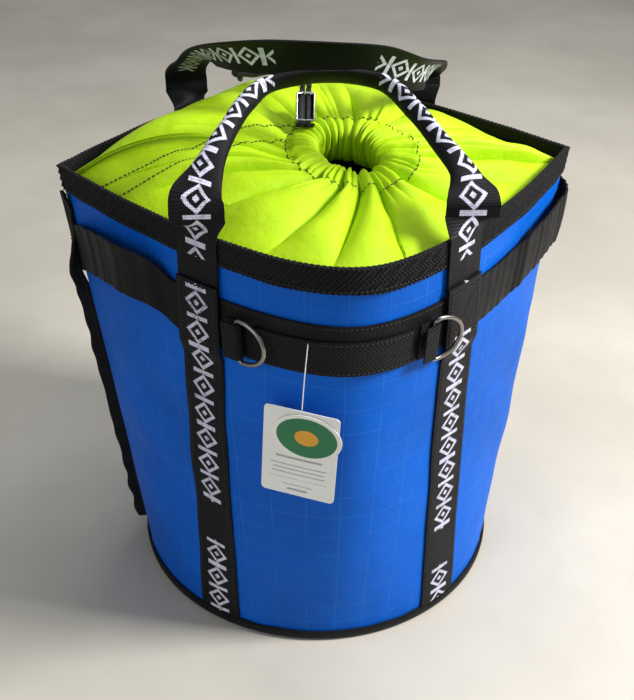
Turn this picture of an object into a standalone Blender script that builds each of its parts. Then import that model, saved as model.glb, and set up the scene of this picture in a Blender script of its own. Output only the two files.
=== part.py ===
"""Drawstring rope bag: a round-based fabric bucket with webbing straps, two carry handles, gear loops,
D-rings, a gathered collar closed by a drawcord and cord lock, and a hang tag. Metres, +Z up, front at -Y."""

import math

import bmesh
import bpy
from mathutils import Vector

# Driving dimensions.
BASE_RADIUS = 0.168
HEIGHT = 0.387
RIM_HALF_WIDTH = 0.212
RIM_HALF_DEPTH = 0.203
RIM_POWER = 1.5
RIM_ROUNDING = 0.02
GAP = 0.0003
SPLINE_STEPS = 24
CLOTH = 0.0012
WEBBING = 0.0015
TAPE = 0.0012
BASE_THICKNESS = 0.003

# Layers on the wall, as distances out from its outer face.
LAYER_ONE = GAP
LAYER_TWO = LAYER_ONE + WEBBING + GAP
LAYER_THREE = LAYER_TWO + WEBBING + GAP

BINDING_HEIGHT = 0.020
# Lower and upper edge of the tape round the base, and how far it stands out.
BASE_BINDING = (0.001, 0.0095, 0.0024)
BAND_LOW, BAND_HIGH = 0.298, 0.341
STRAP_WIDTH = 0.040
STRAP_TOP, STRAP_FOOT = 0.350, 0.0105
TAIL_LOW = 0.302
HANDLE_WIDTH = 0.039
CLEAR_Z, FOLD_Z, FOLD_GAP = 0.3895, 0.4000, 0.0005
SEAM_WIDTH, SEAM_THICKNESS, SEAM_LOW, SEAM_CLEARANCE = 0.015, 0.0032, 0.013, 0.0015
# Each strap: x at the rim, x at the base, and the side of the bag that it is on.
STRAPS = {
    "front_left": (-0.103, -0.102, -1),
    "front_right": (0.082, 0.095, -1),
    "rear_left": (-0.104, -0.100, 1),
    "rear_right": (0.108, 0.100, 1),
}

LEFT, RIGHT = (1, 0, 0), (-1, 0, 0)
# Each row of a handle's route: x, y, z, the direction of the webbing's width, its width and its thickness.
FRONT_HANDLE = (
    (-0.1025, -0.1420, 0.4190, *LEFT, 0.036, 0.002),
    (-0.0920, -0.1230, 0.4340, *LEFT, 0.020, 0.007),
    (-0.0790, -0.1000, 0.4470, 0.8, 0, -0.6, 0.014, 0.009),
    (-0.0630, -0.0710, 0.4580, 0.6, 0, -0.8, 0.014, 0.009),
    (-0.0430, -0.0500, 0.4655, 0.3, 0.3, -0.9, 0.018, 0.007),
    (0.0000, -0.0430, 0.4685, 0, 0.5, -0.87, 0.028, 0.004),
    (0.0400, -0.0500, 0.4640, -0.3, 0.3, -0.9, 0.018, 0.007),
    (0.0590, -0.0800, 0.4510, -0.6, 0, -0.8, 0.014, 0.009),
    (0.0720, -0.1100, 0.4380, -0.8, 0, -0.6, 0.014, 0.009),
    (0.0840, -0.1350, 0.4260, *RIGHT, 0.020, 0.007),
    (0.0875, -0.1500, 0.4160, *RIGHT, 0.036, 0.002),
)
REAR_HANDLE = (
    (-0.1075, 0.1390, 0.4180, *LEFT, 0.038, 0.002),
    (-0.1045, 0.1230, 0.4290, *LEFT, 0.034, 0.002),
    (-0.0990, 0.0980, 0.4410, *LEFT, 0.032, 0.003),
    (-0.0900, 0.0560, 0.4560, 0.8, 0.1, -0.6, 0.028, 0.004),
    (-0.0700, 0.0180, 0.4660, 0.4, 0.3, -0.85, 0.030, 0.004),
    (-0.0350, -0.0050, 0.4710, 0, 0.35, -0.94, 0.032, 0.003),
    (0.0050, -0.0100, 0.4700, 0, 0.35, -0.94, 0.032, 0.003),
    (0.0450, -0.0070, 0.4650, -0.1, 0.3, -0.94, 0.032, 0.003),
    (0.0780, 0.0120, 0.4500, -0.4, 0.1, -0.9, 0.030, 0.004),
    (0.1010, 0.0500, 0.4380, -0.6, -0.3, -0.75, 0.028, 0.004),
    (0.1120, 0.0950, 0.4290, -0.9, -0.3, -0.3, 0.030, 0.003),
    (0.1150, 0.1220, 0.4210, *RIGHT, 0.034, 0.002),
    (0.1145, 0.1360, 0.4140, *RIGHT, 0.037, 0.002),
)
# Where a handle folds at each strap, on its middle line.
HANDLE_TOPS = {
    "front_left": (-0.1035, -0.1470, FOLD_Z),
    "front_right": (0.0880, -0.1560, FOLD_Z),
    "rear_left": (-0.1075, 0.1450, FOLD_Z),
    "rear_right": (0.1130, 0.1420, FOLD_Z),
}
FOLD_RISES = (FOLD_GAP, 0.0045, 0.009)
TAIL_HEIGHTS = (TAIL_LOW, 0.318, 0.334, STRAP_TOP, 0.362, 0.374, 0.385, CLEAR_Z, 0.394, 0.397, FOLD_Z)

# Each row of a gear loop's route: share of the way round, distance out in millimetres, height of its middle.
LEFT_LOOP = ((0, 1.3, 0.319), (0.12, 7, 0.324), (0.3, 13, 0.335), (0.55, 16, 0.339), (0.8, 11, 0.331))
LEFT_LOOP += ((0.93, 5, 0.322),)
RIGHT_LOOP = ((0, 1.3, 0.322), (0.08, 7, 0.328), (0.2, 12, 0.336), (0.35, 12, 0.336), (0.5, 7, 0.334))
RIGHT_LOOP += ((0.65, 12, 0.336), (0.8, 12, 0.336), (0.92, 7, 0.328), (1, 1.3, 0.322))
# How far a loop starts past the middle of its strap, in radians around the bag.
LOOP_START = 0.13

# Mouth of the collar, an ellipse tilted up towards the rear.
MOUTH_CENTRE = (0.018, -0.040, 0.402)
MOUTH_HALF_LENGTH, MOUTH_HALF_WIDTH = 0.038, 0.026
MOUTH_HEADING = math.radians(108)
MOUTH_SLOPE = 0.12
COLLAR_INSET = 0.0048

RING_WIRE = 0.0035
RING_HEIGHT, RING_REACH = 0.039, 0.029
RING_Z = 0.3135
CORD = 0.0045
LOCK_AXIS = Vector((0.07, 0.53, 0.85)).normalized()
LOCK_BASE = Vector((-0.0135, -0.0060, 0.4190))
LOCK_LENGTH, LOCK_WIDTH, LOCK_DEPTH, LOCK_WALL = 0.023, 0.0150, 0.0150, 0.0012
LOCK_SLOT_WIDTH, LOCK_SLOT_DEPTH, LOCK_LIP = 0.0102, 0.0052, 0.0010
STEM_RADIUS, KNOB_RADIUS = 0.0020, 0.0040
# Middle of the two free ends of the drawcord, from above the lock over the collar to their knot.
CORD_ROUTE = (
    (-0.0150, 0.0215, 0.4480),
    (-0.0215, 0.0300, 0.4500),
    (-0.0310, 0.0390, 0.4480),
    (-0.0400, 0.0490, 0.4435),
    (-0.0480, 0.0600, 0.4385),
    (-0.0540, 0.0720, 0.4355),
    (-0.0580, 0.0830, 0.4325),
)
TAG_TOP_X, TAG_TOP_Z = -0.030, 0.3265
CARD_WIDTH, CARD_HEIGHT, CARD_THICKNESS = 0.058, 0.080, 0.0006
BADGE_HALF_WIDTH, BADGE_HALF_HEIGHT = 0.027, 0.020
STRING_RADIUS = 0.0006

MATERIALS = {
    "blue_ripstop": ((0.0, 0.12, 0.62), 0.55, 0.0),
    "black_webbing": ((0.012, 0.012, 0.014), 0.7, 0.0),
    "herringbone_tape": ((0.015, 0.015, 0.017), 0.8, 0.0),
    "lime_fabric": ((0.42, 0.85, 0.02), 0.6, 0.0),
    "black_cord": ((0.01, 0.01, 0.012), 0.7, 0.0),
    "gunmetal": ((0.30, 0.29, 0.28), 0.25, 1.0),
    "chrome_metal": ((0.80, 0.80, 0.82), 0.12, 1.0),
    "black_plastic": ((0.02, 0.02, 0.02), 0.4, 0.0),
    "white_card": ((0.88, 0.88, 0.86), 0.6, 0.0),
    "green_card": ((0.02, 0.30, 0.12), 0.5, 0.0),
}


def clear_scene():
    for obj in list(bpy.data.objects):
        bpy.data.objects.remove(obj, do_unlink=True)


def material(name):
    found = bpy.data.materials.get(name)
    if found:
        return found
    colour, roughness, metallic = MATERIALS[name]
    made = bpy.data.materials.new(name)
    made.use_nodes = True
    shader = made.node_tree.nodes["Principled BSDF"]
    shader.inputs["Base Color"].default_value = (*colour, 1.0)
    shader.inputs["Roughness"].default_value = roughness
    shader.inputs["Metallic"].default_value = metallic
    made.diffuse_color = (*colour, 1.0)
    return made


def add_mesh(name, points, faces, material_name, origin=None, smooth=40):
    """One object from points in world space, its origin moved to a joint's axis if one is given."""
    pivot = Vector(origin) if origin else Vector((0, 0, 0))
    mesh = bpy.data.meshes.new(name)
    mesh.from_pydata([Vector(p) - pivot for p in points], [], faces)
    bm = bmesh.new()
    bm.from_mesh(mesh)
    bmesh.ops.recalc_face_normals(bm, faces=bm.faces)
    bm.to_mesh(mesh)
    bm.free()
    mesh.materials.append(material(material_name))
    mesh.shade_smooth()
    mesh.set_sharp_from_angle(angle=math.radians(smooth))
    obj = bpy.data.objects.new(name, mesh)
    obj.location = pivot
    bpy.context.scene.collection.objects.link(obj)
    return obj


def add_boolean(obj, cutter, operation="DIFFERENCE"):
    cutter.hide_render = True
    cutter.display_type = "WIRE"
    modifier = obj.modifiers.new(cutter.name, "BOOLEAN")
    modifier.operation = operation
    modifier.object = cutter


def mix(a, b, share):
    return a + (b - a) * share


def ease(value, low, high):
    share = min(max((value - low) / (high - low), 0.0), 1.0)
    return share * share * (3 - 2 * share)


def outline(turn, height):
    """A point of the wall's outer face: a circle at the base that becomes a pointed lens at the rim."""
    share = height / HEIGHT
    c, s = math.cos(turn), math.sin(turn)
    soft = RIM_ROUNDING ** (RIM_POWER / 2)
    bow = ((c * c + RIM_ROUNDING) ** (RIM_POWER / 2) - soft) / ((1 + RIM_ROUNDING) ** (RIM_POWER / 2) - soft)
    lens_y = math.copysign(RIM_HALF_DEPTH * (1 - bow), s)
    x = mix(BASE_RADIUS * c, RIM_HALF_WIDTH * c, share)
    y = mix(BASE_RADIUS * s, lens_y, share)
    return Vector((x, y, height))


def wall(turn, height, out=0.0):
    """A point a distance out from the wall. At the two corners it is the mitre of both sides."""
    small = 0.004
    before, here, after = (outline(turn + d, height) for d in (-small, 0, small))
    first = Vector((here.y - before.y, before.x - here.x, 0)).normalized()
    second = Vector((after.y - here.y, here.x - after.x, 0)).normalized()
    normal = (first + second).normalized()
    return here + normal * (out / max(normal.dot(first), 0.5))


def strap_turn(strap, height):
    """The angle around the bag of a strap's middle at this height."""
    x_rim, x_base, side = STRAPS[strap]
    at_base = math.acos(x_base / BASE_RADIUS)
    at_rim = math.acos(x_rim / RIM_HALF_WIDTH)
    return side * mix(at_base, at_rim, height / HEIGHT)


def turn_width(turn, height):
    """Distance along the wall for each radian of turn."""
    return (outline(turn + 0.01, height) - outline(turn - 0.01, height)).length / 0.02


def loft(name, sections, material_name, closed=False, origin=None):
    """A solid through equal closed sections. It ends in caps, or closes on itself."""
    count = len(sections[0])
    points = [point for section in sections for point in section]
    faces = []
    last = len(sections) if closed else len(sections) - 1
    for i in range(last):
        a, b = i * count, (i + 1) % len(sections) * count
        for j in range(count):
            k = (j + 1) % count
            faces.append((a + j, a + k, b + k, b + j))
    if not closed:
        faces.append(tuple(range(count)))
        faces.append(tuple(range(len(points) - count, len(points)))[::-1])
    return add_mesh(name, points, faces, material_name, origin)


def patch(name, rows, inner, outer, material_name):
    """Webbing sewn flat on the wall. rows holds (height, turns); inner and outer give its two faces."""
    sections = []
    for height, turns in rows:
        near = [wall(t, height, inner(height)) for t in turns]
        far = [wall(t, height, outer(height)) for t in turns]
        sections.append(near + far[::-1])
    return loft(name, sections, material_name)


def curve_point(t, a, b, c, d):
    """One number on the smooth curve from b to c, t of the way along."""
    cubic = 3 * b - a - 3 * c + d
    return 0.5 * (2 * b + (c - a) * t + (2 * a - 5 * b + 4 * c - d) * t**2 + cubic * t**3)


def spline(route, count):
    """Evenly spaced points on a smooth curve through the route. Each may hold more than x, y and z."""
    route = [tuple(p) for p in route]
    padded = [route[0], *route, route[-1]]
    fine = []
    for p0, p1, p2, p3 in zip(padded, padded[1:], padded[2:], padded[3:]):
        for t in (step / SPLINE_STEPS for step in range(SPLINE_STEPS)):
            fine.append([curve_point(t, *numbers) for numbers in zip(p0, p1, p2, p3)])
    fine.append(list(route[-1]))
    lengths = [0.0]
    for a, b in zip(fine, fine[1:]):
        lengths.append(lengths[-1] + math.dist(a[:3], b[:3]))
    found, j = [], 0
    for i in range(count):
        target = lengths[-1] * i / (count - 1)
        while j < len(fine) - 2 and lengths[j + 1] < target:
            j += 1
        share = (target - lengths[j]) / max(lengths[j + 1] - lengths[j], 1e-9)
        found.append([mix(a, b, share) for a, b in zip(fine[j], fine[j + 1])])
    return found


def ribbon(name, route, count, material_name, origin=None, square=True):
    """Webbing along a route whose points hold x, y, z, its width's direction, its width and its thickness.
    It is cut square to the route, or keeps exactly the width's direction."""
    line = spline(route, count)
    sections = []
    for i, values in enumerate(line):
        centre, side = Vector(values[:3]), Vector(values[3:6])
        width, thickness = values[6:8]
        ahead, behind = line[min(i + 1, count - 1)], line[max(i - 1, 0)]
        along = (Vector(ahead[:3]) - Vector(behind[:3])).normalized()
        if square:
            side -= along * side.dot(along)
        side.normalize()
        face = along.cross(side).normalized()
        w, t = side * width / 2, face * thickness / 2
        sections.append([centre - w - t, centre + w - t, centre + w + t, centre - w + t])
    return loft(name, sections, material_name, origin=origin)


def tube(name, points, radius, material_name, resolution=2, cyclic=False, origin=None):
    pivot = Vector(origin) if origin else Vector((0, 0, 0))
    curve = bpy.data.curves.new(name, "CURVE")
    curve.dimensions = "3D"
    curve.bevel_depth = radius
    curve.bevel_resolution = resolution
    curve.use_fill_caps = True
    line = curve.splines.new("POLY")
    line.points.add(len(points) - 1)
    for slot, point in zip(line.points, points):
        slot.co = (*(Vector(point[:3]) - pivot), 1.0)
    line.use_cyclic_u = cyclic
    line.use_smooth = True
    curve.materials.append(material(material_name))
    obj = bpy.data.objects.new(name, curve)
    obj.location = pivot
    bpy.context.scene.collection.objects.link(obj)
    return obj


def block(name, centre, axes, size, material_name, origin=None):
    """A box along three given axes."""
    half = [axis * length / 2 for axis, length in zip(axes, size)]
    points = [
        centre + half[0] * a + half[1] * b + half[2] * c
        for c in (-1, 1)
        for a, b in ((-1, -1), (1, -1), (1, 1), (-1, 1))
    ]
    faces = [(0, 1, 2, 3), (4, 5, 6, 7), (0, 1, 5, 4), (1, 2, 6, 5), (2, 3, 7, 6), (3, 0, 4, 7)]
    return add_mesh(name, points, faces, material_name, origin)


def turned(name, start, axis, profile, material_name, sides=20, origin=None):
    """A round solid about an axis. profile is a closed outline of (distance along, radius)."""
    across = axis.orthogonal().normalized()
    up = axis.cross(across)
    points, faces, rings = [], [], []
    for along, radius in profile:
        if radius == 0:
            rings.append([len(points)] * sides)
            points.append(start + axis * along)
            continue
        rings.append(list(range(len(points), len(points) + sides)))
        for i in range(sides):
            angle = 2 * math.pi * i / sides
            points.append(start + axis * along + (across * math.cos(angle) + up * math.sin(angle)) * radius)
    loops = list(zip(rings, rings[1:] + rings[:1]))
    for a, b in loops:
        for i in range(sides):
            k = (i + 1) % sides
            corners = list(dict.fromkeys((a[i], a[k], b[k], b[i])))
            if len(corners) > 2:
                faces.append(corners)
    return add_mesh(name, points, faces, material_name, origin)


def around(count):
    return [2 * math.pi * i / count for i in range(count)]


def make_body():
    """Base disc, wall tube and the tapes that bind the base seam, the side seam and the rim."""
    disc = [(0, 0), (0, BASE_RADIUS - GAP), (BASE_THICKNESS, BASE_RADIUS - GAP), (BASE_THICKNESS, 0)]
    up = Vector((0, 0, 1))
    turned("base_panel", Vector((0, 0, 0)), up, disc, "blue_ripstop", sides=72)
    heights = [BASE_THICKNESS + GAP + (HEIGHT - BASE_THICKNESS - GAP) * i / 8 for i in range(9)]
    sections = []
    for turn in around(80):
        outside = [wall(turn, h) for h in heights]
        inside = [wall(turn, h, -CLOTH) for h in reversed(heights)]
        sections.append(outside + inside)
    loft("body_panel", sections, "blue_ripstop", closed=True)
    sections = []
    for turn in around(72):
        low, high, out = BASE_BINDING
        corners = ((low, GAP), (low, out), (high, out), (high, GAP))
        sections.append([wall(turn, z, out) for z, out in corners])
    loft("base_binding", sections, "herringbone_tape", closed=True)
    make_rim_binding()
    heights = [mix(SEAM_LOW, HEIGHT - BINDING_HEIGHT - SEAM_CLEARANCE, i / 8) for i in range(9)]
    sections = []
    for height in heights:
        corner = wall(math.pi, height, GAP)
        near, half = corner.x - 0.0006, SEAM_THICKNESS / 2
        far = near - SEAM_WIDTH
        corners = ((near, -half), (near, half), (far, half), (far, -half))
        sections.append([Vector((x, y, height)) for x, y in corners])
    loft("side_seam_binding", sections, "herringbone_tape")


def make_rim_binding():
    """Tape folded over the rim: an upside-down U around the wall's top edge."""
    low, top = HEIGHT - BINDING_HEIGHT, HEIGHT + GAP
    inner = -CLOTH - GAP
    corners = (
        (GAP, low),
        (GAP + TAPE, low),
        (GAP + TAPE, top + TAPE * 0.6),
        (0.0, top + TAPE),
        (inner - TAPE, top + TAPE * 0.6),
        (inner - TAPE, low),
        (inner, low),
        (inner, top),
        (GAP, top),
    )
    sections = []
    for turn in around(80):
        section = []
        for out, height in corners:
            place = wall(turn, min(height, HEIGHT), out)
            section.append(Vector((place.x, place.y, height)))
        sections.append(section)
    loft("rim_binding", sections, "herringbone_tape", closed=True)


def mouth_point(turn, out, lift):
    """A point around the mouth, out from its edge and above it."""
    length, width = MOUTH_HALF_LENGTH + out, MOUTH_HALF_WIDTH + out
    angle = turn - MOUTH_HEADING
    reach = length * width / math.hypot(width * math.cos(angle), length * math.sin(angle))
    x, y = reach * math.cos(turn), reach * math.sin(turn)
    return Vector((MOUTH_CENTRE[0] + x, MOUTH_CENTRE[1] + y, MOUTH_CENTRE[2] + MOUTH_SLOPE * y + lift))


def collar_bulge(turn):
    """How far the collar stands above a straight line from the rim to the mouth."""
    left_rear = math.cos(turn - math.radians(130))
    return 0.012 + 0.022 * max(left_rear, 0) - 0.012 * max(-left_rear, 0)


def make_collar():
    """Gathered fabric from the rim to the mouth, its hem folded back as a channel for the drawcord."""
    hem = [(0.024, 0.0), (0.014, 0.0040), (0.006, 0.0048), (0.0, 0.0010), (0.0, -0.0050), (0.005, -0.0085)]
    hem += [(0.012, -0.0075), (0.018, -0.0045)]
    sections = []
    for turn in around(72):
        start = wall(turn, HEIGHT - 0.012, -COLLAR_INSET)
        goal = mouth_point(turn, *hem[0])
        line = []
        for i in range(5):
            share = i / 5
            place = start.lerp(goal, share)
            place.z += collar_bulge(turn) * 4 * share * (1 - share)
            line.append(place)
        line += [mouth_point(turn, out, lift) for out, lift in hem]
        sections.append(thickened(line, turn))
    loft("collar", sections, "lime_fabric", closed=True)


def thickened(line, turn):
    """The closed section of a cloth that follows a line in the upright plane through this turn."""
    radial = Vector((math.cos(turn), math.sin(turn), 0))
    near, far = [], []
    for i, point in enumerate(line):
        along = line[min(i + 1, len(line) - 1)] - line[max(i - 1, 0)]
        r, z = along.dot(radial), along.z
        normal = (radial * -z + Vector((0, 0, r))).normalized() * CLOTH / 2
        near.append(point + normal)
        far.append(point - normal)
    return near + far[::-1]


def strap_rows(strap, low, high, count):
    rows = []
    for i in range(count):
        height = mix(low, high, i / (count - 1))
        middle = strap_turn(strap, height)
        half = STRAP_WIDTH / 2 / turn_width(middle, height)
        rows.append((height, [middle + half * k / 2 for k in (-2, -1, 0, 1, 2)]))
    return rows


def make_straps():
    """Straps from the base to just above the band, where they overlap the tails of the handles."""

    def under(height):
        return mix(LAYER_ONE, LAYER_THREE, ease(height, BAND_LOW - 0.018, BAND_LOW - 0.003))

    def over(height):
        return under(height) + WEBBING

    for strap in STRAPS:
        patch(f"strap_{strap}", strap_rows(strap, STRAP_FOOT, STRAP_TOP, 20), under, over, "black_webbing")


def make_bands():
    """The band around the bag: sewn flat between the straps, and standing off as gear loops outside them."""
    middle = (BAND_LOW + BAND_HIGH) / 2
    for place, left, right in (("front", "front_left", "front_right"), ("rear", "rear_right", "rear_left")):
        start, end = strap_turn(left, middle), strap_turn(right, middle)
        turns = [mix(start - 0.06, end + 0.06, i / 20) for i in range(21)]
        rows = [(mix(BAND_LOW, BAND_HIGH, i / 2), turns) for i in range(3)]
        patch(f"{place}_band", rows, lambda h: LAYER_ONE, lambda h: LAYER_ONE + WEBBING, "black_webbing")
    left = strap_turn("front_left", middle) - LOOP_START
    make_loop("left_front_gear_loop", LEFT_LOOP, left, -math.pi, 1, 18)
    make_loop("left_rear_gear_loop", LEFT_LOOP, left, -math.pi, -1, 18)
    front = strap_turn("front_right", middle) + LOOP_START
    rear = strap_turn("rear_right", middle) - LOOP_START
    make_loop("right_gear_loop", RIGHT_LOOP, front, rear, 1, 36)


def make_loop(name, profile, start, end, side, count):
    """Webbing on edge between two turns around the bag. side is -1 for the mirror image behind the bag."""
    route = []
    for share, millimetres, z in profile:
        spot = wall(mix(start, end, share), z, millimetres / 1000)
        route.append((spot.x, spot.y * side, z, 0, 0, 1, BAND_HIGH - BAND_LOW, WEBBING))
    ribbon(name, route, count, "black_webbing", square=False)


def make_tail(strap, top, along_fold):
    """The sewn tail of a handle: it follows the wall beneath the strap, then straightens to the fold."""
    side = STRAPS[strap][2]
    sections = []
    for height in TAIL_HEIGHTS:
        middle = strap_turn(strap, height)
        half = HANDLE_WIDTH / 2 / turn_width(middle, height)
        straight = ease(height, CLEAR_Z, FOLD_Z)
        near, far = [], []
        for k in (-1, -0.5, 0, 0.5, 1):
            across = top - along_fold * side * k * HANDLE_WIDTH / 2
            for points, out in ((near, 0), (far, WEBBING)):
                on_wall = wall(middle + half * k, height, LAYER_TWO + out)
                on_fold = across + Vector((0, side * (out - WEBBING / 2), height - FOLD_Z))
                points.append(on_wall.lerp(on_fold, straight))
        sections.append(near + far[::-1])
    loft(f"handle_tail_{strap}", sections, "black_webbing")


def make_handles():
    """Two carry handles of folded webbing. Their tails are sewn down; above the fold line each one swings."""
    tops = {strap: Vector(top) for strap, top in HANDLE_TOPS.items()}
    for strap, top in tops.items():
        along_fold = tops[strap.replace("left", "right")] - tops[strap.replace("right", "left")]
        make_tail(strap, top, along_fold.normalized())
    for place, route, side in (("front", FRONT_HANDLE, -1), ("rear", REAR_HANDLE, 1)):
        start, end = tops[f"{place}_left"], tops[f"{place}_right"]
        along_fold = (end - start).normalized()
        rises = [Vector((0, 0, rise)) for rise in FOLD_RISES]
        first = [(*(start + rise), *along_fold, HANDLE_WIDTH, WEBBING) for rise in rises]
        last = [(*(end + rise), *-along_fold, HANDLE_WIDTH, WEBBING) for rise in rises[::-1]]
        axis_point = (start + end) / 2 + Vector((0, side * (WEBBING / 2 + GAP), FOLD_GAP / 2))
        ribbon(f"{place}_handle", [*first, *route, *last], 56, "black_webbing", origin=axis_point)


def make_d_rings():
    """Two rings whose straight bars stand in folded tape tabs on the front band, sloping with the wall."""
    half_width = mix(BASE_RADIUS, RIM_HALF_WIDTH, RING_Z / HEIGHT)
    for name, bar_x, lift in (("left", -0.076, 0.0), ("right", 0.058, 0.0028)):
        turn = -math.acos(bar_x / half_width)
        bar_out = LAYER_TWO + 3 * GAP + TAPE + RING_WIRE / 2
        bar = wall(turn, RING_Z, bar_out)
        upright = (wall(turn, RING_Z + 0.01) - wall(turn, RING_Z - 0.01)).normalized()
        reach_turn = turn + RING_REACH / turn_width(turn, RING_Z)
        tip = wall(reach_turn, RING_Z, bar_out + 0.0045 + lift)
        make_ring(f"d_ring_{name}", bar, tip - bar, upright)
        away = wall(turn - 0.06, RING_Z, bar_out) - bar
        make_tab(f"d_ring_tab_{name}", bar, away, upright)
    turns = [-math.acos(mix(-0.066, 0.043, i / 10) / half_width) for i in range(11)]
    rows = [(RING_Z + offset, turns) for offset in (-0.0145, 0.0145)]
    patch("band_overlay_tape", rows, lambda h: LAYER_TWO, lambda h: LAYER_TWO + TAPE, "herringbone_tape")


def make_ring(name, bar, towards, upright):
    along = (towards - upright * towards.dot(upright)).normalized()
    half = (RING_HEIGHT - RING_WIRE) / 2
    reach = RING_REACH - RING_WIRE
    corner = 0.004
    flat = [(0, -half + corner), (0, -half / 2), (0, 0), (0, half / 2), (0, half - corner)]
    flat += [(corner * (1 - math.cos(a)), half - corner + corner * math.sin(a)) for a in (0.5, 1.05, 1.57)]
    for i in range(1, 14):
        angle = math.pi / 2 - math.pi * i / 14
        flat.append((corner + (reach - corner) * math.cos(angle), half * math.sin(angle)))
    flat += [(corner * (1 - math.cos(a)), -half + corner - corner * math.sin(a)) for a in (1.57, 1.05, 0.5)]
    points = [bar + along * x + upright * z for x, z in flat]
    tube(name, points, RING_WIRE / 2, "gunmetal", resolution=2, cyclic=True, origin=bar)


def make_tab(name, bar, away, upright):
    """Tape folded round a ring's bar, both ends lying on the band towards the strap."""
    away = (away - upright * away.dot(upright)).normalized()
    out = upright.cross(away).normalized()
    if out.dot(bar) < 0:
        out.negate()
    near, reach = RING_WIRE / 2 + 2 * GAP, 0.011
    far = near + TAPE
    inner, outer = [], []
    for degrees in (-90, -45, 0, 45, 90):
        angle = math.radians(degrees)
        direction = away * -math.cos(angle) + out * math.sin(angle)
        inner.append(bar + direction * near / math.cos(math.radians(22.5)))
        outer.append(bar + direction * far / math.cos(math.radians(22.5)))
    inner[0], inner[-1] = bar - out * near, bar + out * near
    outer[0], outer[-1] = bar - out * far, bar + out * far
    flat = [bar + away * reach - out * far, *outer, bar + away * reach + out * far]
    flat += [bar + away * reach + out * near, *inner[::-1], bar + away * reach - out * near]
    half = RING_HEIGHT / 2 - RING_WIRE - 0.001
    sections = [[p + upright * z for p in flat] for z in (-half, half)]
    loft(name, sections, "herringbone_tape")


def lock_frame():
    """The cord lock's three directions: across the two cords, along them, and back away from them."""
    across = Vector((1, 0, 0))
    across = (across - LOCK_AXIS * across.dot(LOCK_AXIS)).normalized()
    return across, LOCK_AXIS, LOCK_AXIS.cross(across)


def make_cord_lock():
    """A metal cage that two cords pass through. A sprung jaw pins them; its knob pulls it back."""
    across, along, back = lock_frame()
    cord_depth = LOCK_LIP + LOCK_SLOT_DEPTH / 2
    front = LOCK_BASE - back * cord_depth
    middle = front + along * LOCK_LENGTH / 2
    axes = (across, back, along)
    size = (LOCK_WIDTH, LOCK_DEPTH, LOCK_LENGTH)
    body = block("cord_lock_body", middle + back * LOCK_DEPTH / 2, axes, size, "chrome_metal")
    hollow = (LOCK_WIDTH - 2 * LOCK_WALL, LOCK_DEPTH, LOCK_LENGTH - 2 * LOCK_WALL)
    inside = middle + back * (LOCK_DEPTH / 2 - LOCK_WALL)
    cavity = block("lock_cavity_cutter", inside, axes, hollow, "chrome_metal")
    slot = block("lock_slot_cutter", LOCK_BASE + along * LOCK_LENGTH / 2, axes,
                 (LOCK_SLOT_WIDTH, LOCK_SLOT_DEPTH, LOCK_LENGTH * 1.5), "chrome_metal")
    bore = [(0, 0), (0, STEM_RADIUS + GAP), (0.01, STEM_RADIUS + GAP), (0.01, 0)]
    bore_start = middle + back * (LOCK_DEPTH - 3 * LOCK_WALL)
    stem = turned("lock_stem_cutter", bore_start, back, bore, "chrome_metal", sides=16)
    for cutter in (cavity, slot, stem):
        add_boolean(body, cutter)
    face = LOCK_LIP + LOCK_SLOT_DEPTH + GAP
    jaw_depth, travel = 0.002, 0.0025
    jaw = block("cord_lock_jaw", middle + back * (face + jaw_depth / 2), axes,
                (hollow[0] - 2 * GAP, jaw_depth, 0.014), "black_plastic", origin=middle + back * face)
    knob_start = LOCK_DEPTH + GAP
    profile = [(face + jaw_depth / 2, 0), (face + jaw_depth / 2, STEM_RADIUS), (knob_start, STEM_RADIUS)]
    profile += [(knob_start, KNOB_RADIUS), (knob_start + travel, KNOB_RADIUS), (knob_start + travel, 0)]
    knob = turned("jaw_knob_union", middle, back, profile, "black_plastic", sides=16)
    add_boolean(jaw, knob, "UNION")
    spring_low, spring_high = face + jaw_depth + GAP, LOCK_DEPTH - LOCK_WALL - GAP
    coil = [(spring_low, STEM_RADIUS + 0.0003), (spring_low, 0.0032), (spring_high, 0.0032)]
    coil.append((spring_high, STEM_RADIUS + 0.0003))
    turned("cord_lock_spring", middle, back, coil, "gunmetal", sides=16)


def make_cords():
    """The drawcord in its channel, and its two ends that pass the eyelet and the lock up to a knot."""
    ring = [mouth_point(turn, 0.0058, -0.0020) for turn in around(48)]
    tube("drawcord", ring, CORD / 2, "black_cord", cyclic=True)
    across, along, back = lock_frame()
    beside = Vector((0.75, 0.65, 0)).normalized()
    straight = (-0.0042, 0.0, LOCK_LENGTH / 2, LOCK_LENGTH, LOCK_LENGTH + 0.004, LOCK_LENGTH + 0.0075)
    for name, shift in (("left", -1), ("right", 1)):
        half_pitch = shift * (CORD / 2 + GAP)
        route = [LOCK_BASE + along * reach + across * half_pitch for reach in straight]
        for i, place in enumerate(CORD_ROUTE):
            turned_side = across.lerp(beside, min((i + 1) / 3, 1.0)).normalized()
            route.append(Vector(place) + turned_side * half_pitch)
        tube(f"drawcord_tail_{name}", spline(route, 40), CORD / 2, "black_cord")
    end = Vector(CORD_ROUTE[-1])
    down = (end - Vector(CORD_ROUTE[-2])).normalized()
    profile = [(0.001, 0), (0.001, 0.0045), (0.003, 0.0068), (0.008, 0.0072), (0.012, 0.0055), (0.0135, 0)]
    turned("drawcord_knot", end, down, profile, "black_cord", sides=16)
    foot = LOCK_BASE - along * 0.0030
    plate = block("cord_eyelet", foot, (across, back, along), (0.0150, 0.0095, 0.0014), "black_webbing")
    hole = block("eyelet_cutter", foot, (across, back, along), (LOCK_SLOT_WIDTH, LOCK_SLOT_DEPTH, 0.01),
                 "black_webbing")
    add_boolean(plate, hole)


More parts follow.
